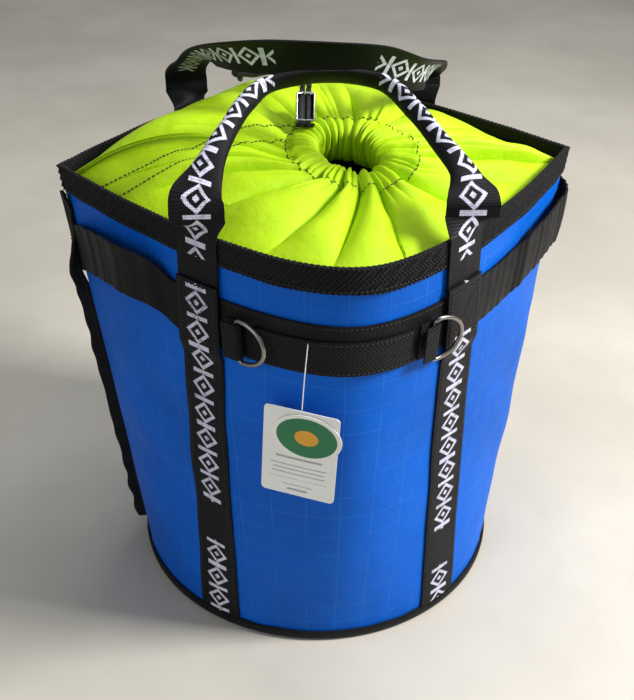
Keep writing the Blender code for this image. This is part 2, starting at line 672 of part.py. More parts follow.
def make_tag():
    """A card and a smaller badge that hang on a thin loop from the band."""
    turn = -math.acos(TAG_TOP_X / mix(BASE_RADIUS, RIM_HALF_WIDTH, TAG_TOP_Z / HEIGHT))
    top = wall(turn, TAG_TOP_Z, LAYER_TWO + TAPE + 0.001)
    across = (wall(turn + 0.02, TAG_TOP_Z) - wall(turn - 0.02, TAG_TOP_Z)).normalized()
    out = Vector((across.y, -across.x, 0))
    hole = top + Vector((-0.004, -0.001, -0.056)) + out * 0.001
    string = spline([top, top.lerp(hole, 0.5) + out * 0.001, hole], 14)
    tube("tag_string", string, STRING_RADIUS, "white_card", origin=top)
    across = (across + Vector((0, 0, -0.05))).normalized()
    down = Vector((0, 0, -1)) - across * across.dot(Vector((0, 0, -1)))
    down = down.normalized()
    face = across.cross(down)
    if face.dot(out) < 0:
        face.negate()
    axes = (across, down, face)
    centre = hole + down * (CARD_HEIGHT / 2 + 0.0008)
    block("tag_card", centre, axes, (CARD_WIDTH, CARD_HEIGHT, CARD_THICKNESS), "white_card", origin=top)
    badge = []
    for i in range(24):
        angle = 2 * math.pi * i / 24
        badge.append(across * math.cos(angle) * BADGE_HALF_WIDTH + down * math.sin(angle) * BADGE_HALF_HEIGHT)
    middle = hole + down * 0.023 + across * 0.005 + face * (CARD_THICKNESS / 2 + GAP)
    sections = [[middle + p + face * depth for p in badge] for depth in (0, CARD_THICKNESS)]
    loft("tag_badge", sections, "green_card", origin=top)


clear_scene()
make_body()
make_collar()
make_straps()
make_bands()
make_handles()
make_d_rings()
make_cord_lock()
make_cords()
make_tag()
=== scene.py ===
import math

import bmesh
import bpy
import numpy as np
from mathutils import Matrix, Vector


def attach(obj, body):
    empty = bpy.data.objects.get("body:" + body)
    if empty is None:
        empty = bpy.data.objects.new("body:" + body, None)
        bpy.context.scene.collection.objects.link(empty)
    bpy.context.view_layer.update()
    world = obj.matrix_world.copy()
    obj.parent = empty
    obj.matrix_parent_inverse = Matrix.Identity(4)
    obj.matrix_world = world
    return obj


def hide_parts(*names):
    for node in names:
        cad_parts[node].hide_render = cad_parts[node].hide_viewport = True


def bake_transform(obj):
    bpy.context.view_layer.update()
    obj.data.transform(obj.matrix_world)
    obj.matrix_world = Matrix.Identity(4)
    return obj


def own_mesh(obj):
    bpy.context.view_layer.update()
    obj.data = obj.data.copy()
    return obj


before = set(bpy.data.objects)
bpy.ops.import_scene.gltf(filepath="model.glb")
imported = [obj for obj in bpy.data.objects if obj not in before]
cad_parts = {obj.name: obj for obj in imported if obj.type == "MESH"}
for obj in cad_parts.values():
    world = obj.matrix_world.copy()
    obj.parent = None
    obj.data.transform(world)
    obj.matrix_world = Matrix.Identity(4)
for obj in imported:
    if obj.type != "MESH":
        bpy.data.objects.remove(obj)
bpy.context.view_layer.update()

# The bag's driving dimensions, in metres, as the CAD model has them.
BASE_RADIUS = 0.168
HEIGHT = 0.387
RIM_HALF_WIDTH, RIM_HALF_DEPTH = 0.212, 0.203
RIM_POWER, RIM_ROUNDING = 1.5, 0.02
GAP = 0.0003
CLOTH, WEBBING, TAPE = 0.0012, 0.0015, 0.0012
LAYER_ONE = GAP
LAYER_TWO = LAYER_ONE + WEBBING + GAP
LAYER_THREE = LAYER_TWO + WEBBING + GAP
BASE_TOP = 0.0033
BINDING_HEIGHT = 0.020
BAND_LOW, BAND_HIGH = 0.298, 0.341
BAND_MIDDLE = (BAND_LOW + BAND_HIGH) / 2
STRAP_WIDTH, STRAP_TOP, STRAP_FOOT = 0.040, 0.350, 0.0105
TAIL_LOW, HANDLE_WIDTH = 0.302, 0.039
CLEAR_Z, FOLD_Z, FOLD_GAP = 0.3895, 0.4000, 0.0005
SEAM_WIDTH, SEAM_THICKNESS, SEAM_LOW = 0.015, 0.0032, 0.013
# Each strap: x at the rim, x at the base, and the side of the bag that it is on.
STRAPS = {
    "front_left": (-0.103, -0.102, -1),
    "front_right": (0.082, 0.095, -1),
    "rear_left": (-0.104, -0.100, 1),
    "rear_right": (0.108, 0.100, 1),
}
MOUTH_CENTRE = (0.018, -0.040, 0.402)
MOUTH_HALF_LENGTH, MOUTH_HALF_WIDTH = 0.038, 0.026
MOUTH_HEADING = math.radians(108)
MOUTH_SLOPE = 0.12
COLLAR_INSET = 0.0048
RING_WIRE, RING_HEIGHT, RING_REACH, RING_Z = 0.0035, 0.039, 0.029, 0.3135
CORD = 0.0045
LOCK_AXIS = Vector((0.07, 0.53, 0.85)).normalized()
LOCK_BASE = Vector((-0.0135, -0.0060, 0.4190))
LOCK_LENGTH = 0.023
JAW_FRONT = 0.0036
SPRING_SPAN, SPRING_TURNS, SPRING_RADIUS, SPRING_WIRE = (0.0088, 0.0135), 4, 0.0027, 0.00035
CORD_ROUTE = (
    (-0.0150, 0.0215, 0.4480),
    (-0.0215, 0.0300, 0.4500),
    (-0.0310, 0.0390, 0.4480),
    (-0.0400, 0.0490, 0.4435),
    (-0.0480, 0.0600, 0.4385),
    (-0.0540, 0.0720, 0.4355),
    (-0.0580, 0.0830, 0.4325),
)
WRINKLE_PITCH = 0.011
TAG_TOP_X, TAG_TOP_Z = -0.030, 0.3265
CARD_WIDTH, CARD_HEIGHT, CARD_THICKNESS = 0.058, 0.080, 0.0006
BADGE_HALF_WIDTH, BADGE_HALF_HEIGHT = 0.027, 0.020
CARD_CURVE = 1.2
# Printed bars on the card: height below its middle, half length, half thickness.
CARD_BARS = ((0.004, 0.018, 0.0010), (0.011, 0.022, 0.0005), (0.015, 0.020, 0.0005), (0.019, 0.021, 0.0005),
             (0.024, 0.023, 0.0002), (0.030, 0.012, 0.0004), (0.0345, 0.008, 0.0010))

# Each row of a gear loop: share of the way round, distance out in millimetres, height of its middle.
LEFT_LOOP = ((0.150, 5, 0.3290), (0.190, 9, 0.3345), (0.310, 13, 0.3360), (0.440, 10, 0.3335),
             (0.640, 5, 0.3260), (0.860, 1.3, 0.3170), (0.955, 1.1, 0.3160))
RIGHT_LOOP = ((0.14, 4, 0.3240), (0.20, 9, 0.3320), (0.34, 11, 0.3360), (0.50, 8, 0.3350),
              (0.66, 11, 0.3360), (0.80, 9, 0.3320), (0.86, 4, 0.3240))

# Camera.
CAMERA_PLACE = Vector((-0.09954, -0.77952, 0.69221))
CAMERA_TURN, CAMERA_PITCH, CAMERA_ROLL = -0.126, 0.562, 0.012
CAMERA_LENS = 51.43

THREAD = 0.00035
RIM_RIB = 0.0043
MOTIF_RUN = 0.2550
ROLL_SHIFT = 0.0085


# ---------------------------------------------------------------- small maths


def mix(a, b, share):
    return a + (b - a) * share


def ease(value, low, high):
    share = np.clip((value - low) / (high - low), 0.0, 1.0)
    return share * share * (3 - 2 * share)


def unit(vectors):
    return vectors / np.maximum(np.linalg.norm(vectors, axis=-1, keepdims=True), 1e-12)


def waves(values, seed, count=5, low=1.0, high=4.0):
    """A smooth random line through values, within about -1 to 1."""
    random = np.random.default_rng(seed)
    pitch = random.uniform(low, high, count)
    phase = random.uniform(0, 2 * math.pi, count)
    return sum(np.sin(values * p + q) for p, q in zip(pitch, phase)) / math.sqrt(count * 1.5)


def lengths_along(line):
    steps = np.linalg.norm(np.diff(line[:, :3], axis=0), axis=1)
    return np.concatenate([[0.0], np.cumsum(steps)])


def resampled(line, count):
    """count evenly spaced rows of a line."""
    along = lengths_along(line)
    targets = np.linspace(0, along[-1], count)
    return np.stack([np.interp(targets, along, column) for column in line.T], axis=1)


def spline(route, count):
    """Evenly spaced rows on a smooth curve through the route's rows."""
    route = np.array([tuple(row) for row in route], float)
    padded = np.vstack([route[:1], route, route[-1:]])
    t = np.linspace(0, 1, 24, endpoint=False)[:, None]
    parts = []
    for a, b, c, d in zip(padded, padded[1:], padded[2:], padded[3:]):
        cubic = (3 * b - a - 3 * c + d) * t**3
        parts.append(0.5 * (2 * b + (c - a) * t + (2 * a - 5 * b + 4 * c - d) * t**2 + cubic))
    return resampled(np.vstack([*parts, route[-1:]]), count)


# ---------------------------------------------------------------- the bag's wall


def outline(turn, height):
    """Points of the wall's outer face: a circle at the base that becomes a pointed lens at the rim."""
    share = height / HEIGHT
    c, s = np.cos(turn), np.sin(turn)
    soft = RIM_ROUNDING ** (RIM_POWER / 2)
    bow = ((c * c + RIM_ROUNDING) ** (RIM_POWER / 2) - soft) / ((1 + RIM_ROUNDING) ** (RIM_POWER / 2) - soft)
    lens_y = np.copysign(RIM_HALF_DEPTH * (1 - bow), s)
    x = mix(BASE_RADIUS * c, RIM_HALF_WIDTH * c, share)
    y = mix(BASE_RADIUS * s, lens_y, share)
    return np.stack([x, y, height + 0 * x], axis=-1)


def wall(turn, height, out=0.0):
    """Points a distance out from the wall. At the two corners it is the mitre of both sides."""
    small = 0.004
    turn, height = np.asarray(turn, float), np.asarray(height, float)
    before, here, after = (outline(turn + d, height) for d in (-small, 0, small))
    first, second = here - before, after - here
    first = unit(np.stack([first[..., 1], -first[..., 0], 0 * first[..., 0]], axis=-1))
    second = unit(np.stack([second[..., 1], -second[..., 0], 0 * second[..., 0]], axis=-1))
    normal = unit(first + second)
    spread = np.maximum((normal * first).sum(-1), 0.5)
    return here + normal * (np.asarray(out) / spread)[..., None]


def strap_turn(strap, height):
    x_rim, x_base, side = STRAPS[strap]
    return side * mix(math.acos(x_base / BASE_RADIUS), math.acos(x_rim / RIM_HALF_WIDTH), height / HEIGHT)


def turn_width(turn, height):
    """Distance along the wall for each radian of turn."""
    return np.linalg.norm(outline(turn + 0.01, height) - outline(turn - 0.01, height), axis=-1) / 0.02


def around(turn, seed, low, high, count=5):
    """A smooth random line round the bag that meets itself, within about -1 to 1."""
    random = np.random.default_rng(seed)
    pitch = random.integers(low, high + 1, count)
    phase = random.uniform(0, 2 * math.pi, count)
    return sum(np.sin(turn * p + q) for p, q in zip(pitch, phase)) / math.sqrt(count * 1.5)


def from_seam(turn):
    """Turn away from the left corner, where the side seam holds the cloth."""
    return np.abs(np.arctan2(np.sin(turn - math.pi), np.cos(turn - math.pi)))


def relief(turn, height):
    """How far the cloth stands off its ideal wall: long folds in the middle, puckers above the base seam."""
    middle = ease(height, 0.02, 0.10) * (1 - ease(height, 0.22, 0.29))
    folds = around(turn + height * 0.8, 3, 3, 12) * 0.0017
    dents = around(turn + height, 11, 3, 10) * waves(height * 22 + np.sin(turn) * 2, 5) * 0.0014
    low = np.exp(-np.maximum(height - 0.009, 0) / 0.022) * ease(height, 0.009, 0.020)
    patchy = 0.5 + 0.5 * around(turn, 8, 1, 6)
    puckers = around(turn, 21, 16, 52) * patchy * 0.0013
    return (middle * (folds + dents) + low * puckers) * ease(from_seam(turn), 0.03, 0.30)


def cloth_wall(turn, height, out=0.0):
    return wall(turn, height, relief(turn, height) + out)


# ---------------------------------------------------------------- meshes


def grid_faces(rows, columns, wrap_rows, wrap_columns):
    """Corner rows and columns of each quad of a grid, not yet wrapped."""
    row_count = rows if wrap_rows else rows - 1
    column_count = columns if wrap_columns else columns - 1
    i, j = np.meshgrid(np.arange(row_count), np.arange(column_count), indexing="ij")
    i, j = i.ravel(), j.ravel()
    return np.stack([i, i, i + 1, i + 1], 1), np.stack([j, j + 1, j + 1, j], 1)


def add_grid(name, points, uv, material, wrap_rows=False, wrap_columns=False, caps=False, outward=True):
    """A mesh over a grid of points, with UVs in metres. uv has one more row or column where the grid wraps.
    caps closes both ends of a thin section that wraps in columns."""
    rows, columns = points.shape[:2]
    i, j = grid_faces(rows, columns, wrap_rows, wrap_columns)
    faces = (i % rows) * columns + j % columns
    corners = uv[i, j]
    if caps:
        half = columns // 2
        k = np.arange(half - 1)
        first = np.stack([k, columns - 1 - k, columns - 2 - k, k + 1], 1)
        last = (rows - 1) * columns + first[:, ::-1]
        faces = np.vstack([faces, first, last])
        corners = np.vstack([corners, uv[0][first], uv[rows - 1][first[:, ::-1]]])
    if not outward:
        faces, corners = faces[:, ::-1], corners[:, ::-1]
    mesh = bpy.data.meshes.new(name)
    mesh.vertices.add(rows * columns)
    mesh.vertices.foreach_set("co", points.reshape(-1).astype(np.float32))
    mesh.loops.add(faces.size)
    mesh.loops.foreach_set("vertex_index", faces.reshape(-1).astype(np.int32))
    mesh.polygons.add(len(faces))
    mesh.polygons.foreach_set("loop_start", np.arange(0, faces.size, 4, dtype=np.int32))
    mesh.update(calc_edges=True)
    layer = mesh.uv_layers.new(name="UVMap")
    layer.data.foreach_set("uv", corners.reshape(-1).astype(np.float32))
    mesh.materials.append(material)
    mesh.validate()
    mesh.shade_smooth()
    mesh.set_sharp_from_angle(angle=math.radians(50))
    obj = bpy.data.objects.new(name, mesh)
    bpy.context.scene.collection.objects.link(obj)
    return obj


def add_slab(name, outer, inner, material, along, across):
    """A closed thin sheet between two grids of points. along (rows) and across (columns) are metres."""
    points = np.concatenate([outer, inner[:, ::-1]], axis=1)
    along, across = np.asarray(along, float), np.asarray(across, float)
    if along.ndim == 1:
        along = np.repeat(along[:, None], across.shape[-1], axis=1)
    across = np.broadcast_to(across, along.shape)
    uv = np.stack([along, across], axis=-1)
    uv = np.concatenate([uv, uv[:, ::-1], uv[:, :1]], axis=1)
    piece = add_grid(name, points, uv, material, wrap_columns=True, caps=True)
    close_normals(piece)
    return piece


def wall_slab(name, turns, heights, low, high, material, along, across):
    """Cloth lying on the wall, from low to high out of it. turns and heights are grids."""
    outer, inner = cloth_wall(turns, heights, high), cloth_wall(turns, heights, low)
    return add_slab(name, outer, inner, material, along, across)


def frames_along(line, hint):
    """Unit directions along a line, beside it (nearest to hint) and up from it."""
    along = unit(np.gradient(line, axis=0))
    side = hint - along * (hint * along).sum(-1, keepdims=True)
    side = unit(side)
    return along, side, np.cross(along, side)


def add_tube(name, line, radius, material, sides=12, closed=False, braid=0.0):
    """A round tube with rounded ends. braid raises crossing strands by this share of the radius."""
    line = np.asarray(line, float)
    hint = np.array([0.31, 0.22, 0.93])
    if closed:
        along = unit(np.roll(line, -1, axis=0) - np.roll(line, 1, axis=0))
        side = unit(hint - along * (hint * along).sum(-1, keepdims=True))
        up = np.cross(along, side)
    else:
        along, side, up = frames_along(line, hint)
    reach = lengths_along(line)
    angle = np.linspace(0, 2 * math.pi, sides, endpoint=False)
    size = np.full((len(line), sides), float(radius))
    if braid:
        pitch = 2 * math.pi / (radius * 5.0)
        strands = np.sin(angle * 4 + reach[:, None] * pitch) * np.sin(angle * 4 - reach[:, None] * pitch)
        size = size * (1 + braid * strands)
    if not closed:
        ends = np.minimum(reach, reach[-1] - reach) / radius
        size = size * np.sqrt(np.clip(1 - (1 - np.clip(ends, 0.04, 1)) ** 2, 0.05, 1))[:, None]
    ring = side[:, None] * np.cos(angle)[None, :, None] + up[:, None] * np.sin(angle)[None, :, None]
    points = line[:, None] + ring * size[..., None]
    steps = np.append(reach, reach[-1] + np.linalg.norm(line[0] - line[-1])) if closed else reach
    turn = np.append(angle, 2 * math.pi) * radius
    uv = np.stack(np.broadcast_arrays(steps[:, None], turn[None]), axis=-1)
    obj = add_grid(name, points, uv, material, wrap_rows=closed, wrap_columns=True, outward=False)
    if not closed:
        close_normals(obj, ends=True)
    return obj


def close_normals(obj, ends=False):
    """Turns every face outwards, after closing the open ends if asked."""
    bm = bmesh.new()
    bm.from_mesh(obj.data)
    if ends:
        bmesh.ops.holes_fill(bm, edges=[e for e in bm.edges if e.is_boundary], sides=0)
    bmesh.ops.recalc_face_normals(bm, faces=bm.faces)
    bm.to_mesh(obj.data)
    bm.free()


def install(piece, node=None, body="bag"):
    """Puts a piece on its body, in the place of a CAD node if it has one."""
    if node:
        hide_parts(node)
    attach(piece, body)


def add_stitches(name, lines, material, pitch=0.0036, share=0.68, radius=THREAD):
    """Thread along lines, each a pair of points and outward normals. A stitch bows up and dives back in."""
    points, faces = [], []
    profile = ((0.0, -0.6), (0.14, 0.35), (0.5, 0.75), (0.86, 0.35), (1.0, -0.6))
    sides = 5
    angle = np.arange(sides) * 2 * math.pi / sides
    for line, normal in lines:
        both = np.hstack([line, normal])
        total = lengths_along(line)[-1]
        count = max(int(total / pitch), 1)
        fine = resampled(both, count * 10 + 1)
        for k in range(count):
            start, stop = fine[k * 10], fine[k * 10 + int(10 * share)]
            ahead, up = stop[:3] - start[:3], unit(start[3:6])
            side = unit(np.cross(ahead, up))
            base = len(points)
            for t, lift in profile:
                centre = start[:3] + ahead * t + up * lift * radius
                points.extend(centre + (side * np.cos(a) + up * np.sin(a)) * radius for a in angle)
            for r in range(len(profile) - 1):
                for s in range(sides):
                    n = (s + 1) % sides
                    a, b = base + r * sides, base + (r + 1) * sides
                    faces.append((a + s, a + n, b + n, b + s))
            faces.append(tuple(base + s for s in range(sides))[::-1])
            faces.append(tuple(base + (len(profile) - 1) * sides + s for s in range(sides)))
    mesh = bpy.data.meshes.new(name)
    mesh.from_pydata([tuple(p) for p in points], [], faces)
    mesh.materials.append(material)
    mesh.shade_smooth()
    obj = bpy.data.objects.new(name, mesh)
    bpy.context.scene.collection.objects.link(obj)
    return obj


def wall_line(turns, heights, out):
    """A line on the wall with its outward normals, for stitches."""
    here, further = cloth_wall(turns, heights, out), cloth_wall(turns, heights, np.asarray(out) + 0.001)
    return here, unit(further - here)


# ---------------------------------------------------------------- materials


class Shader:
    """A Principled material and short ways to add nodes to it."""

    def __init__(self, name, colour, roughness, metallic=0.0, **sockets):
        self.material = bpy.data.materials.new(name)
        self.material.use_nodes = True
        self.nodes = self.material.node_tree.nodes
        self.links = self.material.node_tree.links
        self.surface = self.nodes["Principled BSDF"]
        self.set("Base Color", (*colour, 1.0))
        self.set("Roughness", roughness)
        self.set("Metallic", metallic)
        for socket, value in sockets.items():
            self.set(socket.replace("_", " "), value)

    def set(self, socket, value):
        self.put(value, self.surface.inputs[socket])

    def put(self, value, socket):
        if isinstance(value, bpy.types.NodeSocket):
            self.links.new(value, socket)
        else:
            socket.default_value = value

    def add(self, kind, inputs=(), output=0, **settings):
        node = self.nodes.new("ShaderNode" + kind)
        for setting, value in settings.items():
            setattr(node, setting, value)
        for socket, value in dict(inputs).items():
            self.put(value, node.inputs[socket])
        return node.outputs[output]

    def math(self, operation, a, b=0.0, c=0.0):
        return self.add("Math", {0: a, 1: b, 2: c}, operation=operation)

    def scaled(self, value, factor, offset=0.0):
        return self.math("MULTIPLY_ADD", value, factor, offset)

    def uv(self):
        """Metres along and across the cloth."""
        both = self.add("UVMap", uv_map="UVMap")
        split = self.add("SeparateXYZ", {0: both})
        return split, split.node.outputs[1]

    def place(self):
        return self.add("TexCoord", output=3)

    def noise(self, scale, detail=3.0, roughness=0.55, where=None):
        inputs = {"Vector": where or self.place(), "Scale": scale, "Detail": detail, "Roughness": roughness}
        return self.add("TexNoise", inputs)

    def step(self, value, low, high):
        """0 below low, 1 above high and smooth between them."""
        inputs = {"Value": value, "From Min": low, "From Max": high}
        return self.add("MapRange", inputs, interpolation_type="SMOOTHSTEP")

    def wave(self, value, pitch, phase=0.0):
        """A sine from -1 to 1 that repeats each pitch metres."""
        return self.math("SINE", self.scaled(value, 2 * math.pi / pitch, phase))

    def lines(self, value, pitch, width):
        """1 on a thin line at each pitch metres."""
        inside = self.math("PINGPONG", value, pitch / 2)
        return self.math("SUBTRACT", 1.0, self.step(inside, width * 0.35, width * 0.65))

    def blend(self, share, a, b):
        node = self.add("Mix", data_type="RGBA").node
        self.put(share, node.inputs[0])
        self.put(a, node.inputs[6])
        self.put(b, node.inputs[7])
        return node.outputs[2]

    def bump(self, *layers):
        """Each layer is (height from 0 to 1, its depth in metres)."""
        normal = None
        for height, depth in layers:
            inputs = {"Strength": 1.0, "Distance": depth, "Height": height}
            if normal is not None:
                inputs["Normal"] = normal
            normal = self.add("Bump", inputs)
        self.set("Normal", normal)


def shaded(colour, factor):
    return (*(min(c * factor, 1.0) for c in colour[:3]), 1.0)


def weave(shader, along, across, pitch):
    """Height of a plain weave."""
    over = shader.math("MULTIPLY", shader.wave(along, pitch), shader.wave(across, pitch))
    return shader.scaled(over, 0.5, 0.5)


def ripstop_material():
    blue = (0.0, 0.105, 0.56)
    shader = Shader("blue_ripstop_cloth", blue, 0.5, Specular_IOR_Level=0.12)
    along, across = shader.uv()
    wander = shader.scaled(shader.noise(16.0), 0.003, -0.0015)
    along_cell, across_cell = shader.math("ADD", along, wander), shader.math("ADD", across, wander)
    upright = shader.lines(along_cell, 0.0270, 0.0009)
    level = shader.lines(across_cell, 0.0220, 0.0009)
    grid = shader.math("MAXIMUM", upright, level)
    fine = shader.lines(along, 0.0045, 0.0006)
    faded = shader.step(shader.noise(22.0), 0.35, 0.65)
    cloud = shader.noise(7.0)
    colour = shader.blend(shader.step(cloud, 0.3, 0.7), shaded(blue, 0.84), shaded(blue, 1.10))
    colour = shader.blend(shader.scaled(fine, 0.10), colour, (0.01, 0.15, 0.62, 1))
    share = shader.math("MULTIPLY", grid, shader.scaled(faded, 0.22, 0.10))
    colour = shader.blend(share, colour, (0.04, 0.24, 0.76, 1))
    shader.set("Base Color", colour)
    shader.set("Roughness", shader.scaled(shader.noise(60.0), 0.22, 0.42))
    crinkle = shader.noise(60.0, 5.0)
    shader.bump((crinkle, 0.0012), (grid, 0.00015), (weave(shader, along, across, 0.0011), 0.00010))
    return shader.material


def ribbed(shader, along, across):
    """Height of webbing: fine ribs across it, rows of yarn along it."""
    ribs = shader.scaled(shader.wave(along, 0.0018), 0.5, 0.5)
    yarn = shader.scaled(shader.wave(across, 0.0013), 0.5, 0.5)
    return shader.math("MULTIPLY", ribs, shader.scaled(yarn, 0.6, 0.4))


def motif(shader, along, across, width, filled):
    """A woven pattern of open lozenges and paired bars, 1 on the pale yarn.
    filled is the share of each run that has it, and the rest is plain."""
    stepped = shader.math("SNAP", along, 0.0009)
    unit_pitch, run = 0.0255, MOTIF_RUN
    local = shader.math("PINGPONG", shader.scaled(stepped, 1.0, unit_pitch / 2), unit_pitch / 2)
    off_middle = shader.math("ABSOLUTE", shader.scaled(across, 1.0, -width / 2))
    reach = shader.math("ADD", shader.scaled(local, 1 / 0.0105), shader.scaled(off_middle, 1 / 0.0112))
    ring = shader.math("ABSOLUTE", shader.scaled(reach, 1.0, -0.84))
    lozenge = shader.math("LESS_THAN", ring, 0.17)
    centre = shader.math("LESS_THAN", reach, 0.26)
    inside_bar = shader.math("LESS_THAN", shader.math("ABSOLUTE", shader.scaled(local, 1.0, -0.0118)), 0.0011)
    short = shader.math("LESS_THAN", off_middle, 0.0100)
    bars = shader.math("MULTIPLY", inside_bar, short)
    mark = shader.math("MAXIMUM", shader.math("MAXIMUM", lozenge, centre), bars)
    in_run = shader.math("LESS_THAN", shader.math("PINGPONG", along, run / 2), run / 2 * filled)
    return shader.math("MULTIPLY", mark, in_run)


def webbing_material(name, width, filled=0.0):
    black = (0.0035, 0.0035, 0.0048)
    shader = Shader(name, black, 0.5, Sheen_Weight=0.03, Sheen_Roughness=0.4, Specular_IOR_Level=0.13)
    along, across = shader.uv()
    height = ribbed(shader, along, across)
    cloud = shader.noise(40.0)
    colour = shader.blend(shader.step(cloud, 0.3, 0.75), shaded(black, 0.7), shaded(black, 1.5))
    # Painted highlight and shade: the raised ribs are coloured lighter and the grooves between them darker,
    # following the bump's height.
    colour = shader.blend(shader.scaled(height, 0.20), colour, (0.011, 0.012, 0.017, 1))
    if filled:
        mark = motif(shader, along, across, width, filled)
        worn = shader.step(shader.noise(260.0, 2.0), 0.34, 0.5)
        pale = shader.blend(shader.noise(25.0), (0.42, 0.42, 0.62, 1), (0.82, 0.82, 0.92, 1))
        share = shader.math("MULTIPLY", mark, shader.scaled(worn, 0.35, 0.62))
        colour = shader.blend(share, colour, pale)
    shader.set("Base Color", colour)
    shader.set("Roughness", shader.scaled(shader.noise(90.0), 0.25, 0.38))
    shader.bump((shader.noise(120.0), 0.0003), (height, 0.00022))
    return shader.material


def herringbone_material(name="herringbone_tape_weave", zigzag=0.0100, rib=0.0032):
    """Tape woven in slanting ribs that turn back at each zigzag."""
    shader = Shader(name, (0.006, 0.006, 0.007), 0.6, Sheen_Weight=0.03, Specular_IOR_Level=0.13)
    along, across = shader.uv()
    slant = shader.math("PINGPONG", across, zigzag / 2)
    ribs = shader.scaled(shader.wave(shader.math("ADD", along, slant), rib), 0.5, 0.5)
    yarn = shader.scaled(shader.wave(shader.math("SUBTRACT", along, slant), rib / 4), 0.5, 0.5)
    height = shader.math("MULTIPLY", ribs, shader.scaled(yarn, 0.3, 0.7))
    # Painted highlight and shade: the ribs' ridges are coloured lighter grey and the grooves near black,
    # following the bump's height.
    colour = shader.blend(shader.scaled(height, 0.8), (0.0015, 0.0015, 0.002, 1), (0.013, 0.013, 0.016, 1))
    colour = shader.blend(shader.scaled(shader.noise(50.0), 0.25), colour, (0.008, 0.008, 0.010, 1))
    shader.set("Base Color", colour)
    shader.bump((shader.noise(150.0), 0.0002), (height, 0.0006))
    return shader.material


def lime_material():
    lime = (0.42, 0.66, 0.006)
    shader = Shader("lime_collar_cloth", lime, 0.5, Specular_IOR_Level=0.2)
    along, across = shader.uv()
    cloud = shader.noise(14.0)
    colour = shader.blend(shader.step(cloud, 0.3, 0.7), shaded(lime, 0.88), shaded(lime, 1.08))
    shader.set("Base Color", colour)
    shader.set("Roughness", shader.scaled(shader.noise(70.0), 0.2, 0.40))
    shader.bump((shader.noise(70.0, 5.0), 0.0012), (weave(shader, along, across, 0.0010), 0.0001))
    return shader.material


def cord_material():
    shader = Shader("braided_cord", (0.008, 0.008, 0.010), 0.5, Sheen_Weight=0.05, Sheen_Roughness=0.4)
    along, across = shader.uv()
    plus, minus = shader.math("ADD", along, across), shader.math("SUBTRACT", along, across)
    strands = shader.math("MULTIPLY", shader.wave(plus, 0.0016), shader.wave(minus, 0.0016))
    strands = shader.scaled(strands, 0.5, 0.5)
    # Painted shade and highlight: the gaps between braid strands are coloured darker and the crossing strands
    # lighter, following the bump's height.
    shader.set("Base Color", shader.blend(strands, (0.003, 0.003, 0.004, 1), (0.026, 0.026, 0.032, 1)))
    shader.bump((strands, 0.0004))
    return shader.material


def metal_material(name, colour, roughness):
    shader = Shader(name, colour, roughness, 1.0)
    smudge = shader.noise(45.0)
    shader.set("Roughness", shader.scaled(smudge, 0.22, roughness - 0.08))
    shader.set("Base Color", shader.blend(shader.noise(30.0), shaded(colour, 0.75), shaded(colour, 1.15)))
    shader.bump((shader.noise(400.0, 2.0), 0.00006))
    return shader.material


def plain_material(name, colour, roughness, speckle=200.0, depth=0.0001, spread=0.2):
    """Thread, plastic or card: a fine speckle in its colour and surface."""
    shader = Shader(name, colour, roughness)
    low, high = shaded(colour, 1 - spread), shaded(colour, 1 + spread)
    shader.set("Base Color", shader.blend(shader.noise(speckle / 4), low, high))
    shader.set("Roughness", shader.scaled(shader.noise(speckle / 3), 0.2, roughness - 0.1))
    shader.bump((shader.noise(speckle), depth))
    return shader.material


def floor_material():
    shader = Shader("pale_floor", (0.60, 0.565, 0.49), 0.55)
    cloud = shader.step(shader.noise(2.5, 5.0, 0.6), 0.35, 0.7)
    shader.set("Base Color", shader.blend(cloud, (0.50, 0.47, 0.405, 1), (0.60, 0.565, 0.49, 1)))
    return shader.material


# ---------------------------------------------------------------- camera, light and floor


def make_camera():
    turn, pitch, roll = CAMERA_TURN, CAMERA_PITCH, CAMERA_ROLL
    forward = Vector((-math.sin(turn) * math.cos(pitch), math.cos(turn) * math.cos(pitch), -math.sin(pitch)))
    right = Vector((math.cos(turn), math.sin(turn), 0))
    up = right.cross(forward)
    across = right * math.cos(roll) + up * math.sin(roll)
    upright = up * math.cos(roll) - right * math.sin(roll)
    data = bpy.data.cameras.new("camera")
    data.lens = CAMERA_LENS
    camera = bpy.data.objects.new("camera", data)
    camera.matrix_world = Matrix(
        [(across[i], upright[i], -forward[i], CAMERA_PLACE[i]) for i in range(3)] + [(0, 0, 0, 1)]
    )
    bpy.context.scene.collection.objects.link(camera)
    bpy.context.scene.camera = camera


def add_light(name, place, target, size, energy, colour=(1, 1, 1)):
    data = bpy.data.lights.new(name, "AREA")
    data.size = size
    data.energy = energy
    data.color = colour
    light = bpy.data.objects.new(name, data)
    light.location = place
    light.rotation_mode = "QUATERNION"
    light.rotation_quaternion = (Vector(target) - Vector(place)).to_track_quat("-Z", "Y")
    bpy.context.scene.collection.objects.link(light)


def make_stage():
    size, floor_height = 6.0, -0.0005
    mesh = bpy.data.meshes.new("floor")
    corners = [(-size, -size), (size, -size), (size, size), (-size, size)]
    mesh.from_pydata([(x, y, floor_height) for x, y in corners], [], [(0, 1, 2, 3)])
    mesh.materials.append(floor_material())
    floor = bpy.data.objects.new("floor", mesh)
    bpy.context.scene.collection.objects.link(floor)
    world = bpy.data.worlds.new("studio")
    world.use_nodes = True
    background = world.node_tree.nodes["Background"]
    background.inputs["Color"].default_value = (0.86, 0.89, 0.93, 1)
    background.inputs["Strength"].default_value = 0.30
    bpy.context.scene.world = world
    middle = (0, 0, 0.25)
    add_light("key", (1.5, -0.5, 1.5), middle, 0.5, 66, (1.0, 0.98, 0.95))
    add_light("overhead", (0.2, 0.4, 2.0), middle, 1.0, 12)
    add_light("fill", (-1.5, -1.3, 0.9), middle, 1.2, 8, (0.92, 0.96, 1.0))
    bpy.context.scene.view_settings.view_transform = "Standard"


# ---------------------------------------------------------------- cords and their lock


